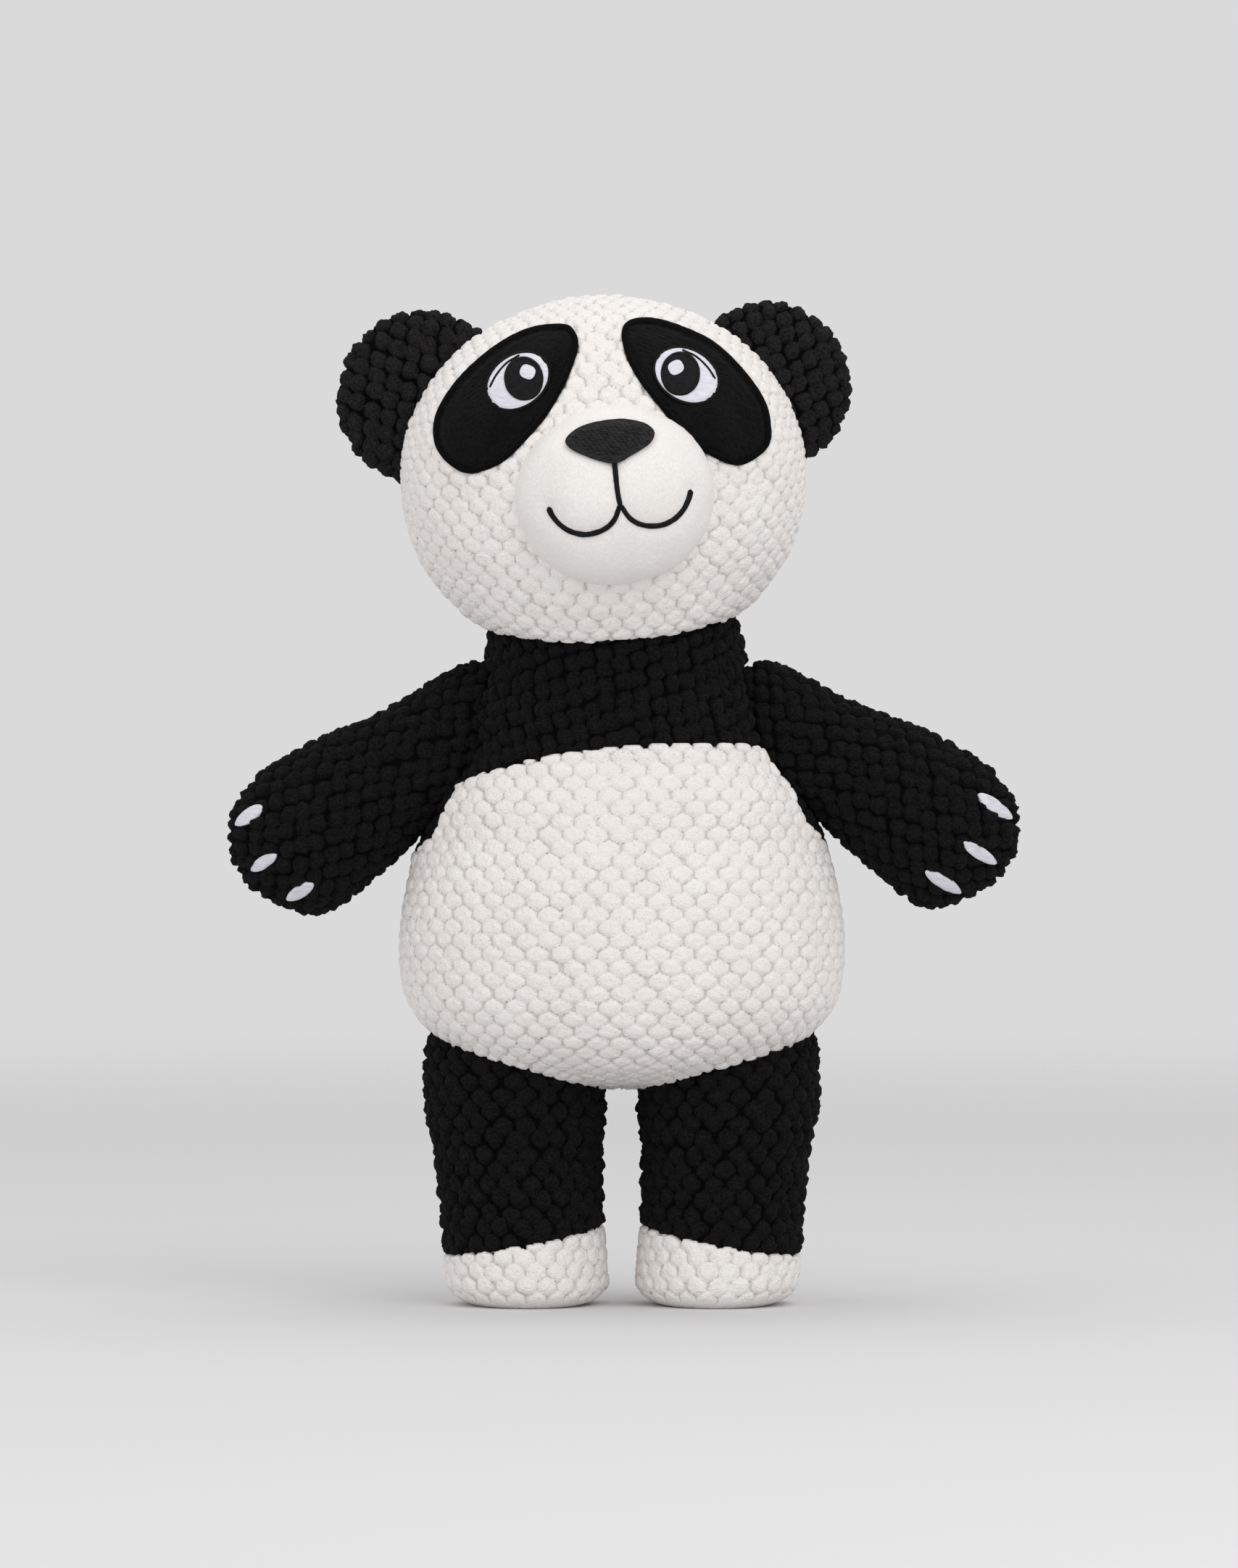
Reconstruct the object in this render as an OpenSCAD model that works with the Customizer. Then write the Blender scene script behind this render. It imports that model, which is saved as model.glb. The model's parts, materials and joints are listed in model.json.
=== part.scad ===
// Standing plush panda, millimetres, +Z up. The face looks along -Y.
// "left" and "right" are the panda's own, so left is on the +X side.
// Stuffed parts turn in spherical sockets that stand in for the give of the filling at each seam.

/* [Head] */
// Width of the head across the cheeks
head_w = 182; // [176:1:186]
// Depth of the head from face to nape, without the muzzle
head_d = 156; // [150:1:160]
// Height of the head from chin to crown
head_h = 158; // [154:1:162]
// Height of the middle of the head above the floor
head_z = 371.5; // [370:0.5:374]
// How far the head sits in front of the body's axis
head_forward = 15; // [13:1:17]
// How far the head leans towards its right ear, in degrees
head_roll = 3; // [0:1:5]
// How far the head is bowed, in degrees
head_pitch = 6; // [4:1:8]

/* [Muzzle] */
// Width of the muzzle dome
muzzle_w = 88; // [84:1:90]
// Height of the muzzle dome
muzzle_h = 80; // [76:1:82]
// How far the muzzle stands in front of the middle of the head
muzzle_reach = 103; // [98:1:106]

/* [Ears] */
// Diameter of an ear
ear_d = 78; // [72:1:80]
// Thickness of an ear at its middle
ear_t = 27; // [22:1:28]

/* [Body] */
// Width of the belly at its widest
belly_w = 198; // [194:1:202]
// Depth of the belly at its widest
belly_d = 150; // [146:1:154]
// Radius of the round neck
neck_r = 57.5; // [57:0.5:58]
// Height of the middle of the neck joint above the floor
neck_z = 283; // [282:0.5:284]
// Height of the lowest point of the belly above the floor
belly_bottom = 96; // [95:0.5:98]
// Height of the seam between the black chest and the white belly
chest_seam_z = 249; // [246:1:252]

/* [Arms] */
// Distance of a shoulder joint from the middle of the body
shoulder_x = 70; // [69:0.5:71]
// Height of a shoulder joint above the floor
shoulder_z = 253; // [251:0.5:255]
// Length of an arm from its shoulder joint to its tip
arm_l = 117; // [112:1:120]
// Width of the paw seen from the front
paw_w = 74; // [70:1:76]
// Angle of the arms below horizontal, in degrees
arm_droop = 29; // [28:1:31]

/* [Legs] */
// Distance of a hip joint from the middle of the body
hip_x = 48; // [47.5:0.5:49]
// Height of a hip joint above the floor
hip_z = 92; // [91:0.5:93]
// Width of a leg
leg_w = 75; // [73:0.5:76]
// Length of a foot from heel to toe
foot_l = 84; // [80:1:88]

/* [Fabric] */
// Thickness of the bobble plush, backing and pile together
plush_t = 5; // [4:0.5:6]
// Thickness of the short pile on the muzzle and the eye patches
pile_t = 2.2; // [2:0.1:2.6]
// Height that the embroidery stands above its ground
stitch_t = 0.7; // [0.5:0.1:0.9]

/* [Hidden] */

BLACK = "#16161a";
WHITE = "#ece8e4";
CREAM = "#f2f0ec";
THREAD = "#e4e4f0";
FILL = "#f7f5ee";
BOARD = "#c8b48c";
PELLETS = "#d9dde2";

// The body's axis stands behind the origin, so that the whole outline is centred on it.
body_y = 23;
neck_x = -3;
head_x = -8.5;
head_seam_y = 6;

// Clearances: between panels and filling, across a joint, and where two stuffed forms meet.
slip = 0.2;
joint_gap = 2.4;
filling_room = 0.6;
ear_room = 0.9;
arm_room = 2.6;
thread_r = 0.5;

// The plush is cut a little thinner on the small forms.
ear_plush_t = plush_t - 1;
limb_plush_t = plush_t - 0.5;

// Radii of the ball-shaped ends that turn in the sockets.
neck_ball = neck_r + 1.1;
shoulder_ball = 31.5;
hip_ball = leg_w / 2;

// Longer than any part of the panda: the size of cutting blocks.
side = 400;

// Travel, in degrees, that the sockets are cut for.
hip_forward = 55;
ear_fold = 25;
arm_lower = 6;
arm_forward = 40;
arm_back_swing = 25;

LEFT = 1;
RIGHT = -1;

// ---- Curves and closed skins ----

function signed_pow(v, p) = sign(v) * pow(abs(v), p);

// Section of a soft form: [height, centre x, centre y, half width, half depth].
function section_ring(s, n, e) = [
  for (k = [0:n - 1])
    let (a = 360 * k / n)
      [s[1] + s[3] * signed_pow(cos(a), 2 / e), s[2] + s[4] * signed_pow(sin(a), 2 / e), s[0]]
];

function spline_point(a, b, c, d, t) =
  0.5 * (2 * b + (c - a) * t + (2 * a - 5 * b + 4 * c - d) * t * t + (3 * b - a - 3 * c + d) * t * t * t);

// A smooth run of points through a list, steps to each gap.
function through(p, steps) = let (last = len(p) - 1) concat(
  [for (i = [0:last - 1], j = [0:steps - 1])
    spline_point(p[max(i - 1, 0)], p[i], p[i + 1], p[min(i + 2, last)], j / steps)],
  [p[last]]
);

// The same through a closed outline.
function around(p, steps) = let (n = len(p)) [
  for (i = [0:n - 1], j = [0:steps - 1])
    spline_point(p[(i + n - 1) % n], p[i], p[(i + 1) % n], p[(i + 2) % n], j / steps)
];

// Sections of an egg-like form about the origin.
function egg(rx, ry, rz, e, steps) = [
  for (i = [0:steps])
    let (a = -90 + 180 * i / steps, w = i == 0 || i == steps ? 0 : pow(cos(a), 2 / e))
      [rz * signed_pow(sin(a), 2 / e), 0, 0, rx * w, ry * w]
];

// Sections moved out from their surface by g, or in where g is below zero.
function grown(s, g) = let (last = len(s) - 1) [
  for (i = [0:last])
    let (
      a = s[max(i - 1, 0)],
      b = s[min(i + 1, last)],
      rise = b[0] - a[0],
      flare = (b[3] + b[4] - a[3] - a[4]) / 2,
      long = norm([rise, flare]),
      pole = i == 0 || i == last,
      out = pole ? 0 : g * rise / long,
      up = pole ? (i == 0 ? -g : g) : -g * flare / long
    )
      [s[i][0] + up, s[i][1], s[i][2], pole ? 0 : s[i][3] + out, pole ? 0 : s[i][4] + out]
];

// Every second section, with both ends kept: a filling is coarser than the skin around it.
function thinned(s) = [for (i = [0:len(s) - 1]) if (i % 2 == 0 || i == len(s) - 1) s[i]];

// A closed skin over sections whose first and last are single points.
module skin(s, n, e = 2) {
  rings = len(s) - 2;
  top = rings * n + 1;
  points = concat(
    [[s[0][1], s[0][2], s[0][0]]],
    [for (i = [1:rings]) each section_ring(s[i], n, e)],
    [[s[rings + 1][1], s[rings + 1][2], s[rings + 1][0]]]
  );
  faces = concat(
    [for (k = [0:n - 1]) [0, 1 + k, 1 + (k + 1) % n]],
    [for (i = [0:rings - 2], k = [0:n - 1])
      let (a = 1 + i * n + k, b = 1 + i * n + (k + 1) % n) each [[a, a + n, b + n], [a, b + n, b]]],
    [for (k = [0:n - 1]) [top, top - n + (k + 1) % n, top - n + k]]
  );
  polyhedron(points, faces, convexity = 6);
}

// Soft forms are cut as closed meshes; a zero resize keeps their size.
module soft() {
  resize([0, 0, 0]) children();
}

module front_half(y) {
  intersection() {
    children();
    translate([-side, y - side, -side]) cube([2 * side, side, 3 * side]);
  }
}

module back_half(y) {
  intersection() {
    children();
    translate([-side, y, -side]) cube([2 * side, side, 3 * side]);
  }
}

module thread_ring(ring_r, tube_r) {
  rotate_extrude($fn = 96) translate([ring_r, 0]) circle(r = tube_r, $fn = 24);
}

// ---- Head ----

// Exponents of the outlines: 2 is an ellipse, and more is squarer.
head_profile_e = 2.35;
head_plan_e = 2.15;
head_steps = 14;
head_sides = 32;
hollow_sides = 40;
head_sections = egg(head_w / 2, head_d / 2, head_h / 2, head_profile_e, head_steps);

module at_head_middle() {
  translate([head_x, body_y - head_forward, head_z]) rotate([0, -head_roll, 0]) children();
}

module head_form(g) {
  at_head_middle() rotate([head_pitch, 0, 0]) skin(grown(head_sections, g), head_sides, head_plan_e);
}

module head_filling_form(g) {
  at_head_middle() rotate([head_pitch, 0, 0])
    skin(thinned(grown(head_sections, g)), head_sides / 2, head_plan_e);
}

module at_neck() {
  translate([neck_x, body_y, neck_z]) children();
}

module neck_hollow(gap) {
  at_neck() sphere(r = neck_ball + gap, $fn = hollow_sides);
}

module head_shell() {
  difference() {
    head_form(0);
    head_form(-plush_t);
    neck_hollow(joint_gap);
  }
}

module head_front_panel() {
  color(WHITE) soft() front_half(body_y - head_forward + head_seam_y) head_shell();
}

module head_back_panel() {
  color(WHITE) soft() back_half(body_y - head_forward + head_seam_y) head_shell();
}

module head_stuffing() {
  color(FILL) soft() difference() {
    head_filling_form(-plush_t - slip);
    neck_hollow(joint_gap);
  }
}

// ---- Muzzle ----

// Place of the muzzle's middle from the middle of the head, and its roll.
muzzle_x = 4.8;
muzzle_z = -10.3;
muzzle_sink = 67;
muzzle_roll = 4;
muzzle_steps = 10;
muzzle_sides = 26;
muzzle_sections = egg(muzzle_w / 2, muzzle_reach - muzzle_sink, muzzle_h / 2, 2, muzzle_steps);

module at_muzzle() {
  at_head_middle() translate([muzzle_x, -muzzle_sink, muzzle_z]) rotate([0, -muzzle_roll, 0]) children();
}

module muzzle_form(g) {
  at_muzzle() skin(grown(muzzle_sections, g), muzzle_sides);
}

module muzzle_cover() {
  color(CREAM) soft() difference() {
    muzzle_form(0);
    muzzle_form(-pile_t);
    head_form(slip);
  }
}

module muzzle_stuffing() {
  color(FILL) soft() difference() {
    muzzle_form(-pile_t - slip);
    head_form(slip);
  }
}

// An outline on the face, given as [right of the middle, above the middle], cut right through.
module face_prism(outline) {
  rotate([90, 0, 0]) linear_extrude(height = side) polygon(outline);
}

// Rounded triangle with its tip down.
nose_outline = around([
  [-20, 3.5], [-13, 10], [0, 11.5], [13.5, 9.5], [20, 4], [12.5, -4], [0, -9.5], [-12.5, -3.5]
], 3);
nose_centre = [-1, 24.5];

module nose_embroidery() {
  color(BLACK) soft() intersection() {
    difference() {
      muzzle_form(2 * stitch_t);
      muzzle_form(0);
    }
    at_muzzle() translate([nose_centre[0], 0, nose_centre[1]]) face_prism(nose_outline);
  }
}

mouth_w = 2.3;
mouth_fork_z = -4.5;
mouth_stem_top = 14.4;
mouth_smile = through([
  [-30, mouth_fork_z], [-24, -13], [-14.5, -17], [-5, -13.5], [0, mouth_fork_z + 0.5]
], 3);

// A line of even width along a run of points.
function ribbon(p, w) = let (last = len(p) - 1) concat(
  [for (i = [0:last]) p[i] + w / 2 * across(p, i)],
  [for (i = [0:last]) p[last - i] - w / 2 * across(p, last - i)]
);

function across(p, i) =
  let (d = p[min(i + 1, len(p) - 1)] - p[max(i - 1, 0)]) [-d[1], d[0]] / norm(d);

module mouth_embroidery() {
  color(BLACK) soft() intersection() {
    difference() {
      muzzle_form(stitch_t);
      muzzle_form(0);
    }
    at_muzzle() {
      face_prism(ribbon([[0, mouth_fork_z], [0, mouth_stem_top]], mouth_w));
      for (turn = [0, 1]) mirror([turn, 0, 0]) face_prism(ribbon(mouth_smile, mouth_w));
    }
  }
}

// ---- Eyes ----

// Teardrop patch: the narrow end is up beside the forehead.
patch_outline = around([
  [9.2, 62], [11, 66.5], [20, 68], [36, 63.8], [54.5, 52.5], [68.6, 38.3], [75.3, 21.5],
  [73.5, 8], [60.5, 0.8], [46, 5.5], [36.5, 17], [25.5, 27], [15.5, 40.5], [9.6, 54]
], 2);
eye_centre = [36.2, 41.5];
eye_half = [13, 11.5];
eye_tilt = 34;
iris_half = [9.3, 8.7];
iris_centre = eye_centre - [1.6, 0.6];
highlight_half = [3.7, 3.3];
highlight_centre = eye_centre - [2.6, -1.8];

function oval(rx, ry, tilt, n) = [
  for (k = [0:n - 1])
    let (a = 360 * k / n)
      [rx * cos(a) * cos(tilt) - ry * sin(a) * sin(tilt), rx * cos(a) * sin(tilt) + ry * sin(a) * cos(tilt)]
];

// A layer on the face between two heights above the head's surface.
module face_layer(s, outline, centre, low, high) {
  soft() intersection() {
    difference() {
      head_form(high);
      head_form(low);
    }
    at_head_middle() scale_side(s) translate([centre[0], 0, centre[1]]) face_prism(outline);
  }
}

module scale_side(s) {
  if (s == LEFT) children();
  else mirror([1, 0, 0]) children();
}

module eye_patch(s) {
  color(BLACK) soft() difference() {
    face_layer(s, patch_outline, [0, 0], 0, pile_t);
    muzzle_form(slip);
  }
}

module eye_white(s) {
  outline = oval(eye_half[0], eye_half[1], eye_tilt, 20);
  color(THREAD) face_layer(s, outline, eye_centre, pile_t, pile_t + stitch_t);
}

module iris(s) {
  outline = oval(iris_half[1], iris_half[0], 0, 18);
  color(BLACK) face_layer(s, outline, iris_centre, pile_t + stitch_t, pile_t + 2 * stitch_t);
}

module eye_highlight(s) {
  outline = oval(highlight_half[0], highlight_half[1], 45, 12);
  color(THREAD) face_layer(s, outline, highlight_centre, pile_t + 2 * stitch_t, pile_t + 3 * stitch_t);
}

// ---- Ears ----

// Place of an ear's middle from the middle of the head.
ear_out = 77.5;
ear_up = 36.5;
ear_back = 6;
ear_steps = 10;
ear_sides = 28;
ear_sections = egg(ear_d / 2, ear_t / 2, ear_d / 2, 2, ear_steps);

module at_ear(s) {
  at_head_middle() scale_side(s) translate([ear_out, ear_back, ear_up]) children();
}

// The hinge line: how far it lies inside the ear's middle, and how far it leans outwards.
ear_hinge_in = 11;
ear_hinge_tilt = 29;

// Turns a shape about the ear's hinge line, which runs along the ear's root.
module about_ear_hinge(s, turn) {
  at_ear(s) hinge_turn(turn) from_ear(s) children();
}

module hinge_turn(turn) {
  translate([-ear_hinge_in, 0, 0]) rotate([0, -ear_hinge_tilt, 0]) rotate([0, 0, turn])
    rotate([0, ear_hinge_tilt, 0]) translate([ear_hinge_in, 0, 0]) children();
}

module from_ear(s) {
  translate([-ear_out, -ear_back, -ear_up]) scale_side(s) rotate([0, head_roll, 0])
    translate([-head_x, head_forward - body_y, -head_z]) children();
}

module ear_form(s, g) {
  at_ear(s) skin(grown(ear_sections, g), ear_sides);
}

// What the head takes from an ear over the ear's travel.
module ear_cut(s) {
  for (turn = [-ear_fold, 0, ear_fold]) about_ear_hinge(s, turn) head_form(ear_room);
}

module ear_shell(s) {
  difference() {
    ear_form(s, 0);
    ear_form(s, -ear_plush_t);
    ear_cut(s);
  }
}

module ear_front(s) {
  color(BLACK) soft() front_half(body_y - head_forward + ear_back) ear_shell(s);
}

module ear_back_side(s) {
  color(BLACK) soft() back_half(body_y - head_forward + ear_back) ear_shell(s);
}

module ear_stuffing(s) {
  color(FILL) soft() difference() {
    ear_form(s, -ear_plush_t - slip);
    ear_cut(s);
  }
}

// ---- Neck seam ----

// Angles of the two threads from the neck's top.
drawstring_polar = 62;
neck_stitch_polar = 44;

module neck_thread(polar) {
  r = neck_ball + joint_gap / 2;
  at_neck() translate([0, 0, r * cos(polar)]) thread_ring(r * sin(polar), thread_r);
}

module neck_drawstring() {
  color(THREAD) neck_thread(drawstring_polar);
}

module neck_stitching() {
  color(THREAD) neck_thread(neck_stitch_polar);
}

// ---- Torso ----

// [height, share of the belly's half width, share of its half depth] below the round neck.
torso_shape = [
  [belly_bottom + 2, 0.38, 0.38], [belly_bottom + 8, 0.67, 0.67], [belly_bottom + 20, 0.87, 0.87],
  [belly_bottom + 40, 0.98, 0.98], [belly_bottom + 67, 1, 1], [belly_bottom + 98, 0.95, 0.97],
  [belly_bottom + 126, 0.84, 0.90], [belly_bottom + 152, 0.69, 0.81]
];
// The neck is a straight collar up to its middle, then a dome from this angle.
collar_h = 20;
dome_start = 12;
dome_steps = 5;
torso_sections = concat(
  [[belly_bottom, 0, body_y, 0, 0]],
  [for (s = torso_shape) [s[0], 0, body_y, s[1] * belly_w / 2, s[2] * belly_d / 2]],
  [for (z = [neck_z - collar_h, neck_z]) [z, neck_x, body_y, neck_r, neck_r]],
  [for (i = [0:dome_steps])
    let (a = dome_start + (90 - dome_start) * i / dome_steps, r = i == dome_steps ? 0 : neck_ball * cos(a))
      [neck_z + neck_ball * sin(a), neck_x, body_y, r, r]]
);
torso_sides = 36;
socket_sides = 36;
filling_socket_sides = 24;

module torso_form(g) {
  skin(grown(torso_sections, g), torso_sides);
}

module torso_filling_form(g) {
  skin(grown(torso_sections, g), torso_sides / 2);
}

module at_shoulder(s) {
  translate([s * shoulder_x, body_y, shoulder_z]) children();
}

module at_hip(s) {
  translate([s * hip_x, body_y, hip_z]) children();
}

// Room under the belly for a leg that swings forward.
module hip_socket(s, gap, sides) {
  r = hip_ball + gap;
  reach = side / 2;
  raised = [-r * cos(hip_forward), r * sin(hip_forward)];
  at_hip(s) {
    sphere(r = r, $fn = sides);
    rotate([90, 0, 90]) linear_extrude(height = 2 * r, center = true)
      polygon([
        [0, 0], [0, -r], [-reach, -r],
        raised - reach * [sin(hip_forward), cos(hip_forward)],
        raised
      ]);
  }
}

module torso_sockets(gap, sides) {
  for (s = [LEFT, RIGHT]) {
    at_shoulder(s) sphere(r = shoulder_ball + gap, $fn = sides);
    hip_socket(s, gap, sides);
  }
}

module torso_shell() {
  difference() {
    torso_form(0);
    torso_form(-plush_t);
    torso_sockets(joint_gap, socket_sides);
  }
}

// The seam between chest and belly is an arch that is highest at the front and back middle.
seam_arch_r = 205;

module below_chest_seam() {
  translate([0, side, chest_seam_z - seam_arch_r]) rotate([90, 0, 0])
    cylinder(r = seam_arch_r, h = 2 * side, $fn = 80);
}

module chest_panel() {
  color(BLACK) soft() difference() {
    front_half(body_y) torso_shell();
    below_chest_seam();
  }
}

module upper_back_panel() {
  color(BLACK) soft() difference() {
    back_half(body_y) torso_shell();
    below_chest_seam();
  }
}

module belly_panel() {
  color(WHITE) soft() intersection() {
    front_half(body_y) torso_shell();
    below_chest_seam();
  }
}

module lower_back_panel() {
  color(WHITE) soft() intersection() {
    back_half(body_y) torso_shell();
    below_chest_seam();
  }
}

module torso_stuffing() {
  color(FILL) soft() difference() {
    torso_filling_form(-plush_t - slip);
    torso_sockets(joint_gap + filling_room, filling_socket_sides);
  }
}

closing_l = 70;
closing_stitches = 7;
closing_stitch_l = 5;
closing_up = 40;
// Height of the thread's middle above the plush.
closing_out = 1.2;

// Ladder stitches that close the back after filling.
module back_closing_thread() {
  pitch = closing_l / closing_stitches;
  color(THREAD) for (i = [0:closing_stitches - 1])
    translate([0, body_y + belly_d / 2 + closing_out, belly_bottom + closing_up + i * pitch])
      rotate([0, 90, 0]) cylinder(r = thread_r, h = closing_stitch_l, center = true, $fn = 12);
}

// ---- Arms ----

ball_steps = 5;
arm_ball_end = 98;
arm_plan_e = 2.2;
arm_sides = 18;
// [share of the arm's length, share of the paw's width, share of it in depth] beyond the ball.
arm_shape = [
  [0.17, 0.70, 0.65], [0.325, 0.83, 0.71], [0.51, 0.93, 0.76],
  [0.70, 1, 0.78], [0.855, 0.86, 0.68], [0.957, 0.54, 0.42]
];
arm_sections = concat(
  [for (i = [0:ball_steps])
    let (a = arm_ball_end * i / ball_steps)
      [-shoulder_ball * cos(a), 0, 0, shoulder_ball * sin(a), shoulder_ball * sin(a)]],
  through(concat(
    [for (s = arm_shape) [s[0] * arm_l, 0, 0, s[1] * paw_w / 2, s[2] * paw_w / 2]],
    [[arm_l, 0, 0, 0, 0]]
  ), 2)
);

// The arm's own +Z runs from the shoulder to the paw.
module at_arm(s) {
  at_shoulder(s) rotate([0, s * (90 + arm_droop), 0]) children();
}

module arm_form(s, g) {
  at_arm(s) skin(grown(arm_sections, g), arm_sides, arm_plan_e);
}

module arm_filling_form(s, g) {
  at_arm(s) skin(thinned(grown(arm_sections, g)), arm_sides / 2, arm_plan_e);
}

// What the torso takes from an arm at rest and at the limits that press on it: [lowered, swung forward].
module arm_cut(s) {
  for (turn = [[0, 0], [arm_lower, 0], [arm_lower, -arm_back_swing], [0, arm_forward]])
    at_shoulder(s) rotate(turn[1], [sin(arm_droop), 0, s * cos(arm_droop)]) rotate([0, -s * turn[0], 0])
      translate([-s * shoulder_x, -body_y, -shoulder_z]) difference() {
        torso_filling_form(arm_room);
        at_shoulder(s) sphere(r = shoulder_ball + joint_gap / 2, $fn = filling_socket_sides);
      }
}

module arm_shell(s) {
  difference() {
    arm_form(s, 0);
    arm_form(s, -limb_plush_t);
    arm_cut(s);
  }
}

module arm_front(s) {
  color(BLACK) soft() front_half(body_y) arm_shell(s);
}

module arm_back(s) {
  color(BLACK) soft() back_half(body_y) arm_shell(s);
}

module arm_stuffing(s) {
  color(FILL) soft() difference() {
    arm_filling_form(s, -limb_plush_t - slip);
    arm_cut(s);
  }
}

claw_l = 17;
claw_w = 5;
claw_t = stitch_t + 0.3;

// Pointed ovals near the tip, spread across the paw: [along the arm, across it, tilt].
claw_places = [[106, 16, 12], [103, -3, 0], [92, -22, -14]];

function leaf(l, w, n) = concat(
  [for (i = [0:n]) [-l / 2 + l * i / n, w / 2 * sin(180 * i / n)]],
  [for (i = [1:n - 1]) [l / 2 - l * i / n, -w / 2 * sin(180 * i / n)]]
);

module claws(s) {
  color(THREAD) soft() intersection() {
    difference() {
      arm_form(s, claw_t);
      arm_form(s, 0);
    }
    at_arm(s) for (c = claw_places)
      translate([-s * c[1], 0, c[0] - claw_l / 2]) rotate([0, -s * c[2], 0]) rotate([90, 0, 0])
        linear_extrude(height = side) rotate(90) polygon(leaf(claw_l, claw_w, 4));
  }
}

// Angle of the shoulder's thread from the arm's own axis.
shoulder_stitch_polar = 152;

module shoulder_stitching(s) {
  r = shoulder_ball + joint_gap / 2;
  color(THREAD) at_arm(s) translate([0, 0, r * cos(shoulder_stitch_polar)])
    thread_ring(r * sin(shoulder_stitch_polar), thread_r);
}

// ---- Legs ----

leg_bottom_x = 43.5;
foot_y = -6;
// [height, share of the leg's half width, share of the foot's half length] up to the hip.
leg_shape = [
  [0, 0.64, 0.82], [3.5, 0.84, 0.93], [9, 0.95, 0.985], [18, 1, 1],
  [30, 1, 0.97], [46, 0.99, 0.92], [66, 1, 0.895]
];
leg_sections = concat(
  [[0, leg_bottom_x, foot_y, 0, 0]],
  [for (s = leg_shape)
    let (t = s[0] / hip_z, x = leg_bottom_x + (hip_x - leg_bottom_x) * t)
      [s[0], x, foot_y * (1 - t), s[1] * leg_w / 2, s[2] * foot_l / 2]],
  [for (i = [0:ball_steps])
    let (a = 90 * i / ball_steps, r = i == ball_steps ? 0 : hip_ball * cos(a))
      [hip_z + hip_ball * sin(a), hip_x, 0, r, r]]
);
leg_sides = 20;
leg_plan_e = 2.1;
cuff_z = 27;
cuff_tilt = 10;

module leg_form(s, g) {
  translate([0, body_y, 0]) scale_side(s) skin(grown(leg_sections, g), leg_sides, leg_plan_e);
}

module leg_shell(s) {
  difference() {
    leg_form(s, 0);
    leg_form(s, -limb_plush_t);
  }
}

// The seam between the black leg and the white foot drops towards the outside.
module below_cuff(s) {
  translate([s * leg_bottom_x, body_y, cuff_z]) rotate([0, s * cuff_tilt, 0])
    translate([-side / 2, -side / 2, -side]) cube([side, side, side]);
}

module leg_cover(s) {
  color(BLACK) soft() difference() {
    leg_shell(s);
    below_cuff(s);
  }
}

// The band turns under the foot by this much, and the sole fills the rest.
sole_rim = 0.8;
sole_t = 3;
board_t = 2;
board_inset = 2;
bag_z = 13.5;
bag_h = 15;
bag_inset = 8;
bag_end_inset = 9;
bag_profile_e = 2.4;
bag_steps = 8;
bag_sides = 20;

module sole_prism(s, inset, low, high) {
  half_w = leg_shape[0][1] * leg_w / 2 - inset;
  half_l = leg_shape[0][2] * foot_l / 2 - inset;
  translate([s * leg_bottom_x, body_y + foot_y, low]) linear_extrude(height = high - low)
    polygon(oval(half_w, half_l, 0, leg_sides));
}

module foot_band(s) {
  color(WHITE) soft() intersection() {
    difference() {
      leg_shell(s);
      sole_prism(s, sole_rim, -1, plush_t + 1);
    }
    below_cuff(s);
  }
}

module sole(s) {
  color(WHITE) sole_prism(s, sole_rim + slip, 0, sole_t);
}

module sole_board(s) {
  color(BOARD) sole_prism(s, board_inset, sole_t + slip, sole_t + slip + board_t);
}

module pellet_bag(s) {
  sections = egg(leg_w / 2 - bag_inset, foot_l / 2 - bag_end_inset, bag_h / 2, bag_profile_e, bag_steps);
  color(PELLETS) translate([s * leg_bottom_x, body_y + foot_y, bag_z]) skin(sections, bag_sides, leg_plan_e);
}

module leg_stuffing(s) {
  color(FILL) soft() difference() {
    leg_form(s, -limb_plush_t - slip);
    translate([-side / 2, -side / 2, -side]) cube([side, side, side + bag_z + bag_h / 2 + slip]);
  }
}

// Angle of the hip's thread from straight up.
hip_stitch_polar = 28;

module hip_stitching(s) {
  r = hip_ball + joint_gap / 2;
  color(THREAD) at_hip(s) translate([0, 0, r * cos(hip_stitch_polar)])
    thread_ring(r * sin(hip_stitch_polar), thread_r);
}

head_front_panel();
head_back_panel();
head_stuffing();
muzzle_cover();
muzzle_stuffing();
nose_embroidery();
mouth_embroidery();
eye_patch(LEFT);  // eye_patch_left
eye_patch(RIGHT);  // eye_patch_right
eye_white(LEFT);  // eye_white_left
eye_white(RIGHT);  // eye_white_right
iris(LEFT);  // iris_left
iris(RIGHT);  // iris_right
eye_highlight(LEFT);  // eye_highlight_left
eye_highlight(RIGHT);  // eye_highlight_right
ear_front(LEFT);  // ear_front_left
ear_front(RIGHT);  // ear_front_right
ear_back_side(LEFT);  // ear_back_left
ear_back_side(RIGHT);  // ear_back_right
ear_stuffing(LEFT);  // ear_stuffing_left
ear_stuffing(RIGHT);  // ear_stuffing_right
neck_drawstring();
neck_stitching();
chest_panel();
upper_back_panel();
belly_panel();
lower_back_panel();
torso_stuffing();
back_closing_thread();
arm_front(LEFT);  // arm_front_left
arm_front(RIGHT);  // arm_front_right
arm_back(LEFT);  // arm_back_left
arm_back(RIGHT);  // arm_back_right
arm_stuffing(LEFT);  // arm_stuffing_left
arm_stuffing(RIGHT);  // arm_stuffing_right
claws(LEFT);  // claws_left
claws(RIGHT);  // claws_right
shoulder_stitching(LEFT);  // shoulder_stitching_left
shoulder_stitching(RIGHT);  // shoulder_stitching_right
leg_cover(LEFT);  // leg_cover_left
leg_cover(RIGHT);  // leg_cover_right
leg_stuffing(LEFT);  // leg_stuffing_left
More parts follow.
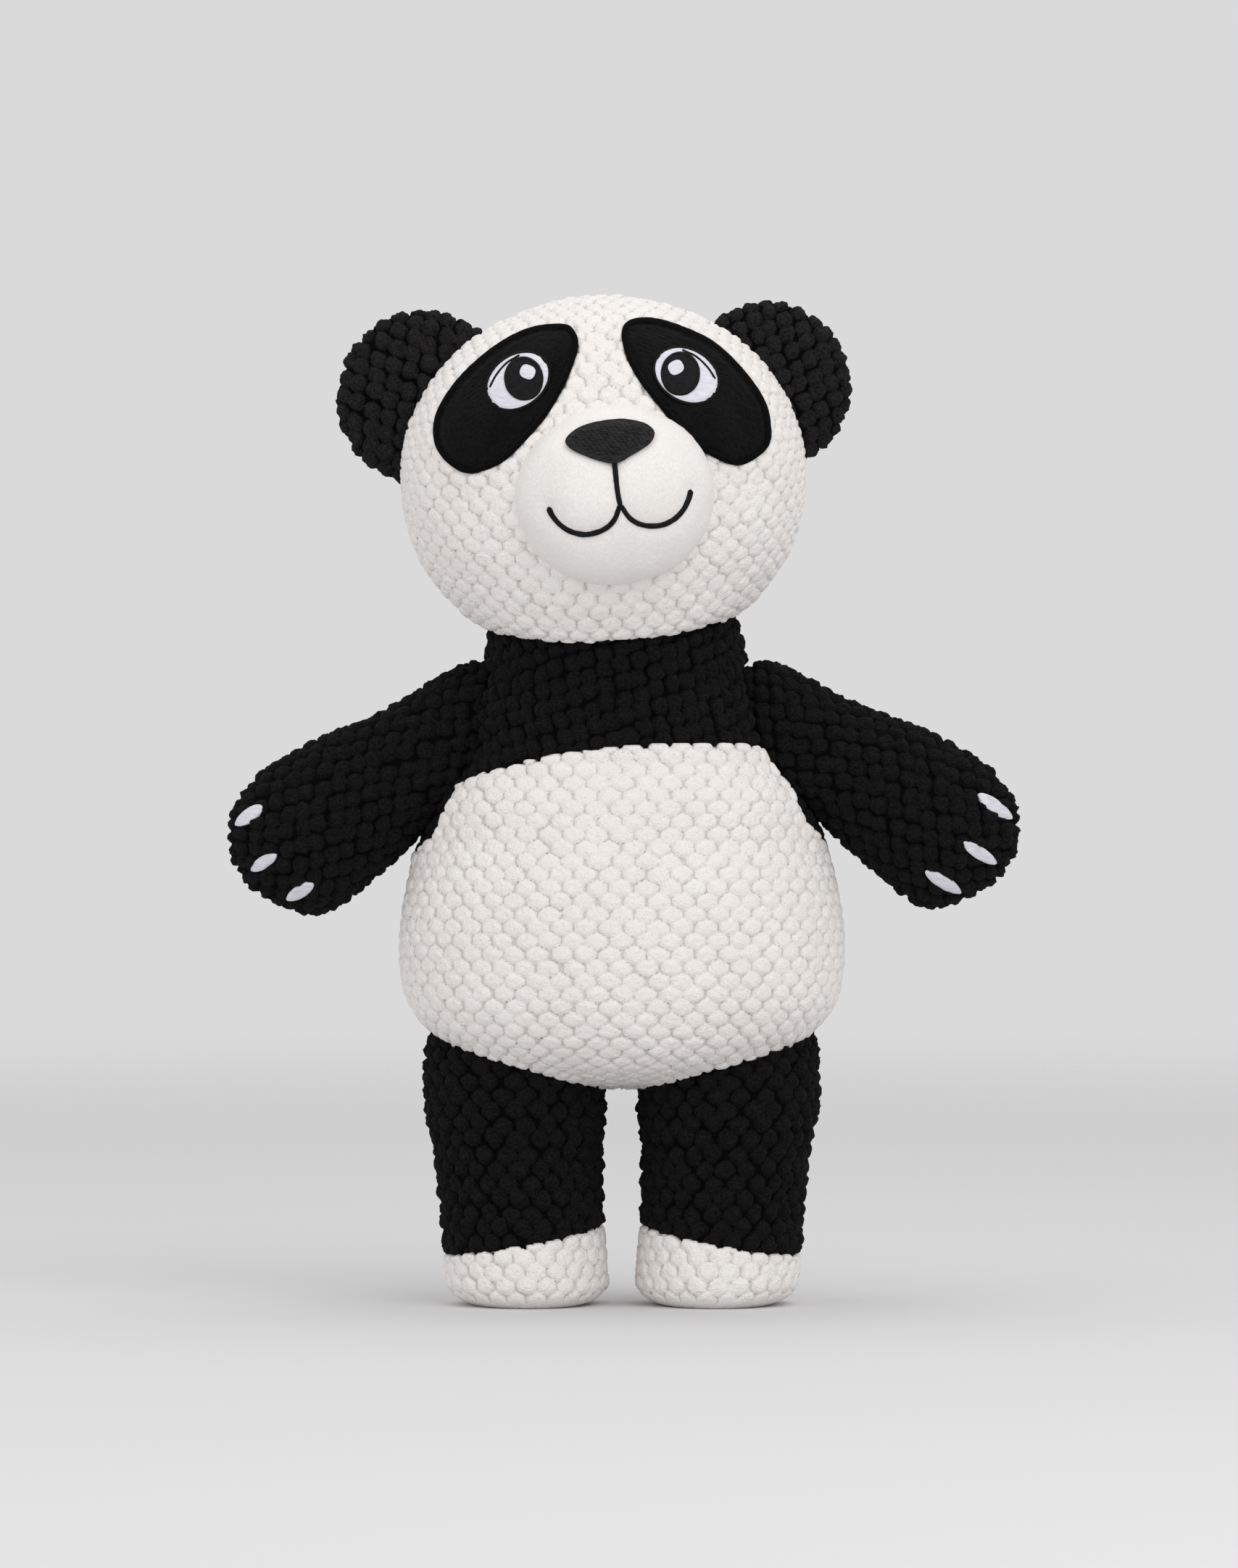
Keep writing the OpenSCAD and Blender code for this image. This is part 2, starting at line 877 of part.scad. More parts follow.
leg_stuffing(RIGHT);  // leg_stuffing_right
hip_stitching(LEFT);  // hip_stitching_left
hip_stitching(RIGHT);  // hip_stitching_right
foot_band(LEFT);  // foot_band_left
foot_band(RIGHT);  // foot_band_right
sole(LEFT);  // sole_left
sole(RIGHT);  // sole_right
sole_board(LEFT);  // sole_board_left
sole_board(RIGHT);  // sole_board_right
pellet_bag(LEFT);  // pellet_bag_left
pellet_bag(RIGHT);  // pellet_bag_right
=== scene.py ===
"""Looks of the standing plush panda. The panda faces -Y, and its own left is on +X.

Shapes are worked out in millimetres as grids of points, and made into meshes in metres.
"""

import json
import math

import bpy
import numpy as np
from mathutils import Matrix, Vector


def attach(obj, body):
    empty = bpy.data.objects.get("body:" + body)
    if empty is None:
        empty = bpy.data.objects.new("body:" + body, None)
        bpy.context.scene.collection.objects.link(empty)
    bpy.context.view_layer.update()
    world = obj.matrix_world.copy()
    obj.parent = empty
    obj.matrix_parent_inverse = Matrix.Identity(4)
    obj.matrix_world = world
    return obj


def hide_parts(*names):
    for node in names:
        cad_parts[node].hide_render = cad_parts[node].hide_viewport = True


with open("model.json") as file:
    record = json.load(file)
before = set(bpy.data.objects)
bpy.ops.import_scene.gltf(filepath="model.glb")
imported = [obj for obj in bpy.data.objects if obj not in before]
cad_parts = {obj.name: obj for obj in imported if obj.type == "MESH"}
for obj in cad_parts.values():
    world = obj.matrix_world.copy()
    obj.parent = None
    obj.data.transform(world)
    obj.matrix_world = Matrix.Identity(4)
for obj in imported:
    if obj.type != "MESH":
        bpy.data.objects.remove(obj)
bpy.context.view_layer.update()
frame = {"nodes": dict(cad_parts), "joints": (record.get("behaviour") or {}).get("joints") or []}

MM = 0.001
LEFT, RIGHT = 1, -1
SIDES = {LEFT: "left", RIGHT: "right"}

# ---- Sizes, in millimetres and degrees ----

KNOT_ACROSS = 10.9      # pitch of the knots along a row
KNOT_ROWS = 5.9         # pitch of the rows
FINE = 0.8              # spacing of the points of a bobble mesh
BLACK_HEIGHT = 2.9      # the black knots are taller, rounder and looser than the white
BLACK_YARN = {"square": 2.4, "loose": 1.9, "curl": 2.6, "corner": 3.0}
WHITE_YARN = {"square": 4.0, "loose": 1.0, "curl": 1.0}

HEAD_HALF = np.array([91.0, 78.0, 79.0])
HEAD_ROLL, HEAD_PITCH = 3.0, 6.0
HEAD_CROWN, HEAD_JAW, HEAD_PLAN = 1.98, 2.32, 2.15
SEAM_BACK = 4.0         # the head's side seam lies this far behind its middle, in degrees

JOWL = 6.0              # the cloth under the chin hangs this much lower than the plain form
NECK_BALL = 58.6
HOLLOW_R = NECK_BALL + 2.2

MUZZLE_HALF = np.array([44.0, 36.0, 40.0])
MUZZLE_ROLL = 4.0

EAR_HALF = np.array([39.0, 13.5, 39.0])
ARM_DROOP = 29.0
CUFF_TILT = 10.0

# Points along each side of the grids, at rest about FINE apart or finer.
HEAD_GRID, MUZZLE_GRID, EAR_GRID, TORSO_GRID, LEG_GRID = 305, 235, 150, 345, 300
ARM_GRID = (200, 150)


def joint_at(name):
    """A joint's place in the frame."""
    found = next(j for j in frame["joints"] if j["name"] == name)
    return np.array(found["pos_m"]) / MM


NECK = joint_at("neck_turn")
BODY_Y = NECK[1]
HEAD = np.array([-8.5, BODY_Y - 15, 371.5])
SHOULDER = joint_at("arm_left_raise")
HIP = joint_at("leg_left_swing")


# ---- Numbers in a field ----

def chance(i, j, seed):
    """A fixed random number from 0 to 1 for each pair of whole numbers."""
    spread = np.sin(i * 12.9898 + j * 78.233 + seed * 37.719) * 43758.5453
    return spread - np.floor(spread)


def grain(u, v, size_u, size_v, seed):
    """Smooth noise from -1 to 1 over a plane."""
    x, y = u / size_u, v / size_v
    i, j = np.floor(x), np.floor(y)
    fx, fy = x - i, y - j
    fx, fy = fx * fx * (3 - 2 * fx), fy * fy * (3 - 2 * fy)
    low = chance(i, j, seed) * (1 - fx) + chance(i + 1, j, seed) * fx
    high = chance(i, j + 1, seed) * (1 - fx) + chance(i + 1, j + 1, seed) * fx
    return 2 * (low * (1 - fy) + high * fy) - 1


def knots(u, v, seed, across=KNOT_ACROSS, rows=KNOT_ROWS, square=4.0, loose=1.0, corner=6.0):
    """Height of the knots of yarn, from 0 to about 1.

    Each knot is a hexagon, rounder for a smaller corner, and every second row is offset by half a knot.
    """
    warp_u = u + 0.45 * loose * grain(u, v, 4.1, 3.3, seed + 20)
    warp_v = v + 0.30 * loose * grain(u, v, 3.7, 3.1, seed + 21)
    best = np.full(u.shape, 9.0)
    middle_u, middle_v = np.zeros(u.shape), np.zeros(u.shape)
    for step in (-1, 0, 1, 2):
        j = np.floor(v / rows) + step
        shift = 0.5 * (j % 2)
        i = np.round(u / across - shift)
        here_u, here_v = (i + shift) * across, j * rows
        x = np.abs(warp_u - here_u - (chance(i, j, seed) - 0.5) * 0.10 * loose * across)
        y = np.abs(warp_v - here_v - (chance(i, j, seed + 1) - 0.5) * 0.14 * loose * rows)
        side = x / (across * (0.445 + 0.03 * chance(i, j, seed + 2)))
        slant = (y + 0.40 * rows / KNOT_ROWS * x) / (rows * 0.72)
        edge = (side ** corner + slant ** corner) ** (1 / corner)
        nearer = edge < best
        best = np.where(nearer, edge, best)
        middle_u = np.where(nearer, here_u, middle_u)
        middle_v = np.where(nearer, here_v, middle_v)
    crown = np.clip(1 - best ** square, 0, 1) ** 0.55
    return crown * (0.85 + 0.30 * chance(np.round(middle_u * 10), np.round(middle_v * 10), seed + 3))


# ---- Grids and meshes ----

def flat_places(points):
    """Flat cloth coordinates of a grid: u along each row from its middle, v up the middle line."""
    middle = points.shape[1] // 2
    along = np.linalg.norm(np.diff(points, axis=1), axis=2)
    u = np.concatenate([np.zeros((len(points), 1)), np.cumsum(along, axis=1)], axis=1)
    u -= u[:, middle:middle + 1]
    up = np.linalg.norm(np.diff(points[:, middle], axis=0), axis=1)
    v = np.concatenate([[0], np.cumsum(up)])
    return u, np.repeat(v[:, None], points.shape[1], axis=1)


def normals(points, outward_from):
    """Unit normals of a grid of points, turned away from a point or a line of points inside."""
    along = np.gradient(points, axis=1)
    up = np.gradient(points, axis=0)
    n = np.cross(along, up)
    size = np.linalg.norm(n, axis=2, keepdims=True)
    out = points - outward_from
    out /= np.maximum(np.linalg.norm(out, axis=2, keepdims=True), 1e-9)
    n = np.where(size > 1e-6, n / np.maximum(size, 1e-9), out)
    return n * np.where((n * out).sum(2, keepdims=True) < 0, -1, 1)


def grid_object(name, points, material, closed=False, crowns=None, smooth=True):
    """A mesh of four-sided faces over a grid of points. A closed grid's last column meets its first."""
    rows, cols = points.shape[:2]
    index = np.arange(rows * cols).reshape(rows, cols)
    right = np.roll(index, -1, axis=1) if closed else index[:, 1:]
    here = index if closed else index[:, :-1]
    quads = np.stack([here[:-1], right[:-1], right[1:], here[1:]], axis=-1).reshape(-1, 4)
    return mesh_object(name, points.reshape(-1, 3), quads, material, crowns, smooth)


def mesh_object(name, vertices, quads, material, crowns=None, smooth=True):
    mesh = bpy.data.meshes.new(name)
    mesh.vertices.add(len(vertices))
    mesh.vertices.foreach_set("co", (vertices * MM).astype(np.float32).ravel())
    mesh.loops.add(quads.size)
    mesh.loops.foreach_set("vertex_index", quads.astype(np.int32).ravel())
    mesh.polygons.add(len(quads))
    mesh.polygons.foreach_set("loop_start", np.arange(0, quads.size, 4, dtype=np.int32))
    mesh.polygons.foreach_set("loop_total", np.full(len(quads), 4, dtype=np.int32))
    mesh.polygons.foreach_set("use_smooth", np.full(len(quads), smooth))
    mesh.update(calc_edges=True)
    mesh.validate()
    # The crown attribute picks the chenille's colour: low crowns get the darker crease colour, which is
    # partly painted shade.
    if crowns is not None:
        attribute = mesh.attributes.new("crown", "FLOAT", "POINT")
        attribute.data.foreach_set("value", crowns.astype(np.float32).ravel())
    mesh.materials.append(material)
    return shown(name, mesh)


def shown(name, data):
    """A new object in the scene."""
    made = bpy.data.objects.new(name, data)
    bpy.context.scene.collection.objects.link(made)
    return made


def vectors(items, field):
    """A field of a mesh's points or normals, one row to an item."""
    values = np.empty(len(items) * 3)
    items.foreach_get(field, values)
    return values.reshape(-1, 3)


def hand_over(piece, body, slot, *nodes, fill=None):
    """Attaches a piece to the body it rides on and hides the CAD nodes it stands for. slot and fill are not
    used.
    """
    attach(piece, body)
    if nodes:
        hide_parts(*nodes)


def bobbled(points, inside, u, v, seed, sink=0.0, border=None, fade=1.0, height=1.7, curl=1.0, **pitch):
    """Raises knots of yarn on a grid. sink draws points in.

    border is how far points lie inside the edge of their cloth, which has no knots beyond it.
    """
    crown = knots(u, v, seed, **pitch)
    fuzz = curl * (0.20 * grain(u, v, 2.4, 1.9, seed + 5) + 0.18 * grain(u, v, 1.3, 1.2, seed + 6))
    depth = 0.66 * height
    if border is not None:
        crown = crown * between(border, -0.3, 1.6)
    lift = (height * crown + fuzz * np.clip(crown * 3, 0.2, 1)) * fade - depth - sink
    if border is not None:
        lift = np.where(border > -0.15, lift, -depth - 3)
    return points + normals(points, inside) * lift[..., None], crown


def between(x, low, high):
    """0 below low, 1 above high, and smooth between them."""
    t = np.clip((x - low) / (high - low), 0, 1)
    return t * t * (3 - 2 * t)


def ridge(distance, width):
    """1 on a line, falling off to each side over width."""
    return np.exp(-(distance / width) ** 2)


def along_rows(u, v, degrees):
    """Flat coordinates along and across rows of knots that are turned on their cloth."""
    a = math.radians(degrees)
    return u * math.cos(a) + v * math.sin(a), v * math.cos(a) - u * math.sin(a)


def turned(points, degrees, axis):
    """Points turned about one of the frame's axes through the origin."""
    a = math.radians(degrees)
    c, s = math.cos(a), math.sin(a)
    matrix = {
        "x": [[1, 0, 0], [0, c, -s], [0, s, c]],
        "y": [[c, 0, s], [0, 1, 0], [-s, 0, c]],
        "z": [[c, -s, 0], [s, c, 0], [0, 0, 1]],
    }[axis]
    return points @ np.array(matrix).T


def pushed_out(points, centre, radius, direction, flat=1.0):
    """Moves the points inside a ball, maybe flattened front to back, along direction to its surface."""
    rel = (points - centre) * (1, flat, 1)
    direction = np.array(direction, float)
    along = rel @ direction
    depth = radius ** 2 - (rel ** 2).sum(-1)
    travel = -along + np.sqrt(np.maximum(along ** 2 + depth, 0))
    return points + np.where(depth > 0, travel, 0)[..., None] * direction


def curve_through(handles, steps):
    """A smooth run through rows of numbers, with steps to each gap."""
    h = np.array(handles, float)
    padded = np.concatenate([2 * h[:1] - h[1:2], h, 2 * h[-1:] - h[-2:-1]])
    t = np.linspace(0, 1, steps, endpoint=False)[:, None]
    parts = []
    for i in range(len(h) - 1):
        a, b, c, d = padded[i:i + 4]
        parts.append(0.5 * (2 * b + (c - a) * t + (2 * a - 5 * b + 4 * c - d) * t ** 2
                            + (3 * b - a - 3 * c + d) * t ** 3))
    return np.concatenate(parts + [h[-1:]])


def ring_points(sections, angles, exponent=2.0):
    """Points of [height, x, y, half width, half depth] sections at angles, one row to a section."""
    c, s = np.cos(angles), np.sin(angles)
    power = 2 / exponent
    across = np.sign(c) * np.abs(c) ** power
    deep = np.sign(s) * np.abs(s) ** power
    z, x, y, rx, ry = (sections[:, k:k + 1] for k in range(5))
    return np.stack([x + rx * across, y + ry * deep, z + 0 * across], axis=-1)


# ---- Cloth simulation ----

def swelling(grids, inside, held, cap=4.0, step=7, shrink=1.5):
    """How far sewn panels move when they are stuffed, in millimetres, at every few points of each grid.

    Borders are sewn down and don't move, and held gives how firmly the other points stay, from 0 to 1.
    """
    starts, coarse, faces, firm = [], [], [], []
    for grid in grids:
        rows, cols = (np.linspace(0, size - 1, size // step).round().astype(int) for size in grid.shape[:2])
        points = grid[np.ix_(rows, cols)]
        out = normals(points, inside)
        pin = np.clip(held(points), 0, 1)
        pin[0] = pin[-1] = pin[:, 0] = pin[:, -1] = 1
        index = np.arange(pin.size).reshape(pin.shape) + sum(len(start) for start in starts)
        corners = [index[:-1, :-1], index[:-1, 1:], index[1:, 1:], index[1:, :-1]]
        quads = np.stack(corners, axis=-1).reshape(-1, 4)
        turn = np.cross(points[1:-1, 2:] - points[1:-1, :-2], points[2:, 1:-1] - points[:-2, 1:-1])
        faces.append(quads if (turn * out[1:-1, 1:-1]).sum() > 0 else quads[:, ::-1])
        starts.append((points - out * shrink * (1 - pin)[..., None]).reshape(-1, 3))
        coarse.append(points)
        firm.append(pin.ravel())
    piece = mesh_object("stuffed_cloth", np.concatenate(starts), np.concatenate(faces), FILLING)
    after = blown_up(piece, np.concatenate(firm))
    moves = []
    for points in coarse:
        count = points.shape[0] * points.shape[1]
        move = after[:count].reshape(points.shape) - points
        after = after[count:]
        size = np.linalg.norm(move, axis=-1, keepdims=True)
        moves.append(move * np.minimum(1, cap / np.maximum(size, 1e-6)))
    return moves


FRAMES = 20
CLOTH = {
    "quality": 5, "mass": 0.2, "tension_stiffness": 15, "compression_stiffness": 15, "shear_stiffness": 5,
    "bending_stiffness": 0.5, "use_pressure": True, "uniform_pressure_force": 4, "vertex_group_mass": "seams",
}


def blown_up(piece, firm):
    """Runs cloth with pressure inside, and returns where its points end, in millimetres."""
    seams = piece.vertex_groups.new(name="seams")
    for k, weight in enumerate(firm):
        seams.add([k], float(weight), "REPLACE")
    cloth = piece.modifiers.new("cloth", "CLOTH")
    for setting, value in CLOTH.items():
        setattr(cloth.settings, setting, value)
    cloth.settings.effector_weights.gravity = 0
    cloth.collision_settings.use_collision = False
    cloth.collision_settings.use_self_collision = False
    cloth.point_cache.frame_end = FRAMES
    for moment in range(1, FRAMES + 1):
        bpy.context.scene.frame_set(moment)
    after = vectors(piece.evaluated_get(bpy.context.evaluated_depsgraph_get()).data.vertices, "co")
    bpy.data.objects.remove(piece)
    bpy.context.scene.frame_set(1)
    return np.nan_to_num(after) / MM


def spread(moves, rows, cols):
    """Moves at shares of the way down the rows and along the columns, on a smooth surface through them."""
    for_rows, for_cols = (curve_through(np.eye(count), 16) for count in moves.shape[:2])
    for_rows = for_rows[np.round(np.clip(rows, 0, 1) * (len(for_rows) - 1)).astype(int)]
    for_cols = for_cols[np.round(np.clip(cols, 0, 1) * (len(for_cols) - 1)).astype(int)]
    return np.einsum("ia,abk,jb->ijk", for_rows, moves, for_cols, optimize=True)


# ---- Materials ----

class Look:
    """A material in the making: a shader, and the noise, colours and bumps that feed it."""

    def __init__(self, name, roughness, specular=0.25, sheen=0.0, tint=(1, 1, 1, 1)):
        self.made = bpy.data.materials.new(name)
        self.made.use_nodes = True
        self.nodes, self.links = self.made.node_tree.nodes, self.made.node_tree.links
        self.shader = self.nodes["Principled BSDF"]
        self.shader.inputs["Roughness"].default_value = roughness
        self.shader.inputs["Specular IOR Level"].default_value = specular
        self.shader.inputs["Sheen Weight"].default_value = sheen
        self.shader.inputs["Sheen Roughness"].default_value = 0.45
        self.shader.inputs["Sheen Tint"].default_value = tint

    def noise(self, scale, detail, stretch=(1, 1, 1)):
        """Noise in the object's own space, in cycles to a metre."""
        kinds = ("TexCoord", "Mapping", "TexNoise")
        place, mapping, texture = (self.nodes.new(f"ShaderNode{kind}") for kind in kinds)
        mapping.inputs["Scale"].default_value = stretch
        texture.inputs["Scale"].default_value = scale
        texture.inputs["Detail"].default_value = detail
        self.links.new(place.outputs["Object"], mapping.inputs["Vector"])
        self.links.new(mapping.outputs["Vector"], texture.inputs["Vector"])
        return texture.outputs["Fac"]

    def ramp(self, value, *stops):
        """Colours by value: stops are (place, colour), or (place, grey level)."""
        made = self.nodes.new("ShaderNodeValToRGB")
        elements = made.color_ramp.elements
        while len(elements) < len(stops):
            elements.new(0.5)
        for element, (place, colour) in zip(elements, stops):
            element.position = place
            element.color = (*(colour if isinstance(colour, tuple) else (colour,) * 3), 1)
        self.links.new(value, made.inputs["Fac"])
        return made.outputs["Color"]

    def times(self, first, second):
        made = self.nodes.new("ShaderNodeMix")
        made.data_type, made.blend_type = "RGBA", "MULTIPLY"
        made.inputs[0].default_value = 1.0
        self.links.new(first, made.inputs[6])
        self.links.new(second, made.inputs[7])
        return made.outputs[2]

    def done(self, colour, *heights):
        """Gives the shader its colour and a stack of bumps: heights are (value, distance in millimetres)."""
        self.links.new(colour, self.shader.inputs["Base Color"])
        last = None
        for value, distance in heights:
            bump = self.nodes.new("ShaderNodeBump")
            bump.inputs["Distance"].default_value = distance * MM
            self.links.new(value, bump.inputs["Height"])
            if last is not None:
                self.links.new(last, bump.inputs["Normal"])
            last = bump.outputs["Normal"]
        self.links.new(last, self.shader.inputs["Normal"])
        return self.made


def chenille(name, crown, crease_tone_and_shade, speck, *surface):
    """Knotted chenille: fine curly fibres, darker between the knots, where the crease colour is partly the
    backing's own tone and partly painted shade.
    """
    look = Look(name, 0.95, *surface)
    attribute = look.nodes.new("ShaderNodeAttribute")
    attribute.attribute_name = "crown"
    fibres = look.noise(1000, 3, (0.85, 0.85, 1.15))
    clumps, curls, wide = look.noise(330, 2), look.noise(2300, 2), look.noise(28, 2)
    # Low crowns, between the knots and where the knots fade out at seams and rims, take the darker crease
    # colour: partly the backing's tone, partly painted shade.
    depth = look.ramp(attribute.outputs["Fac"], (0.0, crease_tone_and_shade), (0.30, crown), (1.0, crown))
    specks = look.ramp(fibres, (0.32, speck), (0.62, 1))
    tone = look.ramp(wide, (0.3, (0.965, 0.955, 0.95)), (0.7, 1))
    return look.done(look.times(look.times(depth, specks), tone), (clumps, 0.8), (fibres, 0.7), (curls, 0.25))


def short_pile(name, colour, shade, *surface, dark=0.9, relief=1.0):
    """Short brushed pile, with faint strokes where it lies another way."""
    look = Look(name, 0.9, *surface)
    hairs, strokes = look.noise(1500, 2, (1, 1, 0.5)), look.noise(60, 3, (1, 1, 0.6))
    patches = look.ramp(strokes, (0.3, shade), (0.7, colour))
    fine = look.ramp(hairs, (0.35, dark), (0.65, 1))
    return look.done(look.times(patches, fine), (strokes, 0.5 * relief), (hairs, 0.18 * relief))


def embroidery(name, colour, shade, roughness, stretch=(1, 1, 1), specular=0.4):
    """Glossy thread laid side by side, along the long way of stretch."""
    look = Look(name, roughness, specular)
    threads, tone = look.noise(1000, 2, stretch), look.noise(120, 2)
    lines = look.ramp(threads, (0.36, shade), (0.6, colour))
    return look.done(look.times(lines, look.ramp(tone, (0.3, 0.93), (0.7, 1))), (threads, 0.25))


def plain_fibre(name, colour, shade, scale, depth, roughness=0.95):
    """Loose fibre, board or cloth: one noise for both tone and relief."""
    look = Look(name, roughness)
    strands = look.noise(scale, 4, (1, 1, 0.4))
    return look.done(look.ramp(strands, (0.3, shade), (0.7, colour)), (strands, depth))


BLACK_SHEEN = (0.5, 0.5, 0.55, 1)
# Each chenille's second colour is its darker crease colour between the knots: partly the backing's own tone,
# partly painted shade.
WHITE_PLUSH = chenille("white_chenille", (0.94, 0.91, 0.88), (0.74, 0.70, 0.66), (0.96, 0.955, 0.95),
                       0.2, 0.2)
BLACK_PLUSH = chenille("black_chenille", (0.0115, 0.0105, 0.011), 0.002, 0.25, 0.08, 0.02, BLACK_SHEEN)
# The ears get a lighter copy of the black chenille: the same cloth, with brighter crowns that paint in the
# light falling on the ears from above.
LIT_EAR_PLUSH = chenille("ear_chenille_painted_lighter", (0.021, 0.0195, 0.021), 0.002, 0.25, 0.08, 0.03, BLACK_SHEEN)
CREAM_PILE = short_pile("cream_pile", (0.89, 0.86, 0.83), (0.86, 0.83, 0.80), 0.2, 0.2)
BLACK_PILE = short_pile("black_pile", (0.0085, 0.008, 0.0082), 0.003, 0.12, 0.02, (0.5, 0.5, 0.5, 1),
                        dark=0.25, relief=2.4)
BLACK_THREAD = embroidery("black_thread", (0.0085, 0.0085, 0.009), 0.003, 0.7, (1, 1, 0.15), 0.15)
PATCH_THREAD = embroidery("patch_thread", (0.0035, 0.0034, 0.0036), 0.002, 0.85, (1, 1, 0.15), 0.06)
NOSE_THREAD = embroidery("nose_thread", (0.020, 0.019, 0.021), 0.002, 0.6, (0.35, 0.35, 1.6), 0.2)
WHITE_THREAD = embroidery("white_thread", (0.78, 0.77, 0.835), (0.66, 0.65, 0.73), 0.6, (0.22, 0.22, 2.2))
THREAD = embroidery("sewing_thread", 0.010, 0.005, 0.8, specular=0.1)
CLOSING_THREAD = embroidery("closing_thread", (0.72, 0.70, 0.67), (0.5, 0.48, 0.46), 0.55)
FILLING = plain_fibre("fibre_filling", (0.88, 0.87, 0.84), (0.70, 0.69, 0.66), 260, 1.2)
BOARD = plain_fibre("sole_board", (0.55, 0.44, 0.29), (0.45, 0.35, 0.22), 500, 0.1, 0.8)
PELLETS = plain_fibre("plastic_pellets", (0.70, 0.74, 0.78), (0.5, 0.54, 0.6), 330, 1.0, 0.4)
SOLE_CLOTH = plain_fibre("sole_cloth", (0.78, 0.74, 0.71), (0.66, 0.62, 0.6), 1400, 0.15)


# ---- The round forms: head, muzzle and ears ----

def in_head(points):
    """From the head's own frame, which rolls with it, to the row frame."""
    return turned(points, -HEAD_ROLL, "y") + HEAD


def head_level(p):
    """1 on the surface of the head, growing with distance, from points in its pitched frame."""
    x, y, z = (np.abs(p[..., k]) / HEAD_HALF[k] for k in range(3))
    power = np.where(p[..., 2] > 0, HEAD_CROWN, HEAD_JAW)
    return ((x ** HEAD_PLAN + y ** HEAD_PLAN) ** (power / HEAD_PLAN) + z ** power) ** (1 / power)


def head_distance(direction):
    """Distance from the middle of the head to its surface along unit directions."""
    return 1 / head_level(direction)


ARC_STEPS = 12          # steps by which the length of cloth from the middle to a point is measured
RIM_TUCK = 0.06         # the knots close up by this share at the rim


def square_to_disc(count):
    """A square grid drawn out to a disc of radius 1: shares of the radius, and angles."""
    side = np.linspace(-1, 1, count)
    x, y = np.meshgrid(side, side)
    px = x * np.sqrt(1 - y * y / 2)
    py = y * np.sqrt(1 - x * x / 2)
    return np.hypot(px, py), np.arctan2(py, px)


def half_shell(half, facing, reach, count, distance=None):
    """Half of a round form seen along Y: points, flat coordinates and share of the way to the rim."""
    share, angle = square_to_disc(count)
    polar = share * math.radians(reach)

    def place(polar):
        direction = np.stack([
            np.sin(polar) * np.cos(angle), facing * np.cos(polar), np.sin(polar) * np.sin(angle)
        ], axis=-1)
        size = 1 / np.sqrt(((direction / half) ** 2).sum(-1)) if distance is None else distance(direction)
        return direction * size[..., None]

    run, last = np.zeros(share.shape), place(0 * polar)
    for step in range(1, ARC_STEPS + 1):
        here = place(polar * step / ARC_STEPS)
        run += np.linalg.norm(here - last, axis=-1)
        last = here
    run *= 1 - RIM_TUCK * share ** 2
    return last, run * np.cos(angle), run * np.sin(angle), share


def sewn_to_face(points):
    """How firmly the head's cloth is held: behind the face, and at the neck."""
    face = np.hypot(points[..., 0] / 80, (points[..., 2] - 12) / 62)
    return np.maximum((points[..., 1] < 0) * (1 - between(face, 0.95, 1.2)), between(-points[..., 2], 52, 64))


def make_head():
    patches = [closed_outline(PATCHES[s]) for s in SIDES]
    halves = {"front": (-1, 90 + SEAM_BACK, 1), "back": (1, 90 - SEAM_BACK, 2)}
    shells = [half_shell(HEAD_HALF, facing, reach, HEAD_GRID, head_distance)
              for facing, reach, _ in halves.values()]
    moves = swelling([shell[0] for shell in shells], np.zeros(3), sewn_to_face)
    even = np.linspace(0, 1, HEAD_GRID)
    for (name, (facing, reach, seed)), (shell, u, v, share), move in zip(halves.items(), shells, moves):
        rim = (1 - share) * math.radians(reach) * 84
        own = turned(shell + spread(move, even, even), HEAD_PITCH, "x")
        sink = 1.6 * ridge(rim, 3.0)
        if facing < 0:
            covered = np.maximum(*(inside_by(own[..., 0], own[..., 2], patch) for patch in patches))
            sink = sink + 3.0 * between(covered, 0.6, 2.4) - 0.7 * ridge(covered + 3.5, 3.0)
            own[..., 2] -= JOWL * between(-own[..., 2], 44, 70) * between(-own[..., 1], 20, 50)
        points = in_head(own)
        from_neck = np.linalg.norm(points - NECK, axis=-1)
        fade = between(from_neck, HOLLOW_R - 6, HOLLOW_R) * between(rim, -1, 2.5)
        raised, crowns = bobbled(points, HEAD, u, v, seed, sink, fade=fade, across=10.4, rows=6.15)
        raised = pushed_out(raised, NECK, HOLLOW_R, (0, 0, 1))
        piece = grid_object(f"head_{name}_plush", raised, WHITE_PLUSH, crowns=crowns * fade)
        hand_over(piece, "head", "white_bobble_plush", f"head_{name}_panel", fill=0.8)


# ---- Torso ----

BELLY_HALF = np.array([99.0, 75.0])
BELLY_BOTTOM = 96.0
NECK_R = 57.5
SEAM_TOP = 249.0
SHOULDER_BALL = 31.5
SHOULDER_FLAT = 1.25    # the root of an arm is this much thinner front to back
HIP_BALL = 37.5
# How much wider and deeper than the neck, by height.
CHEST_SIDES = [(0, 6.0, 1.0), (1, 3.5, 0), (2, 1.2, 0)]
CHEST_SLANT = -34.0     # the rows of the chest run down to the panda's left
SOCKET_GAP = 1.6        # a limb's socket is this much larger than its ball
CLOSING = (136, 206, 5.5)       # lowest and highest ladder stitch of the back, and the pitch between them
STITCH_REACH, STITCH_R = 3.2, 0.45


def chest_plan(z):
    """Exponent of the torso's outline from above: squarer at the chest, in front of the arms."""
    return (2 + 0.6 * between(z, 205, 235) * (1 - between(z, 262, 286)))[:, None]


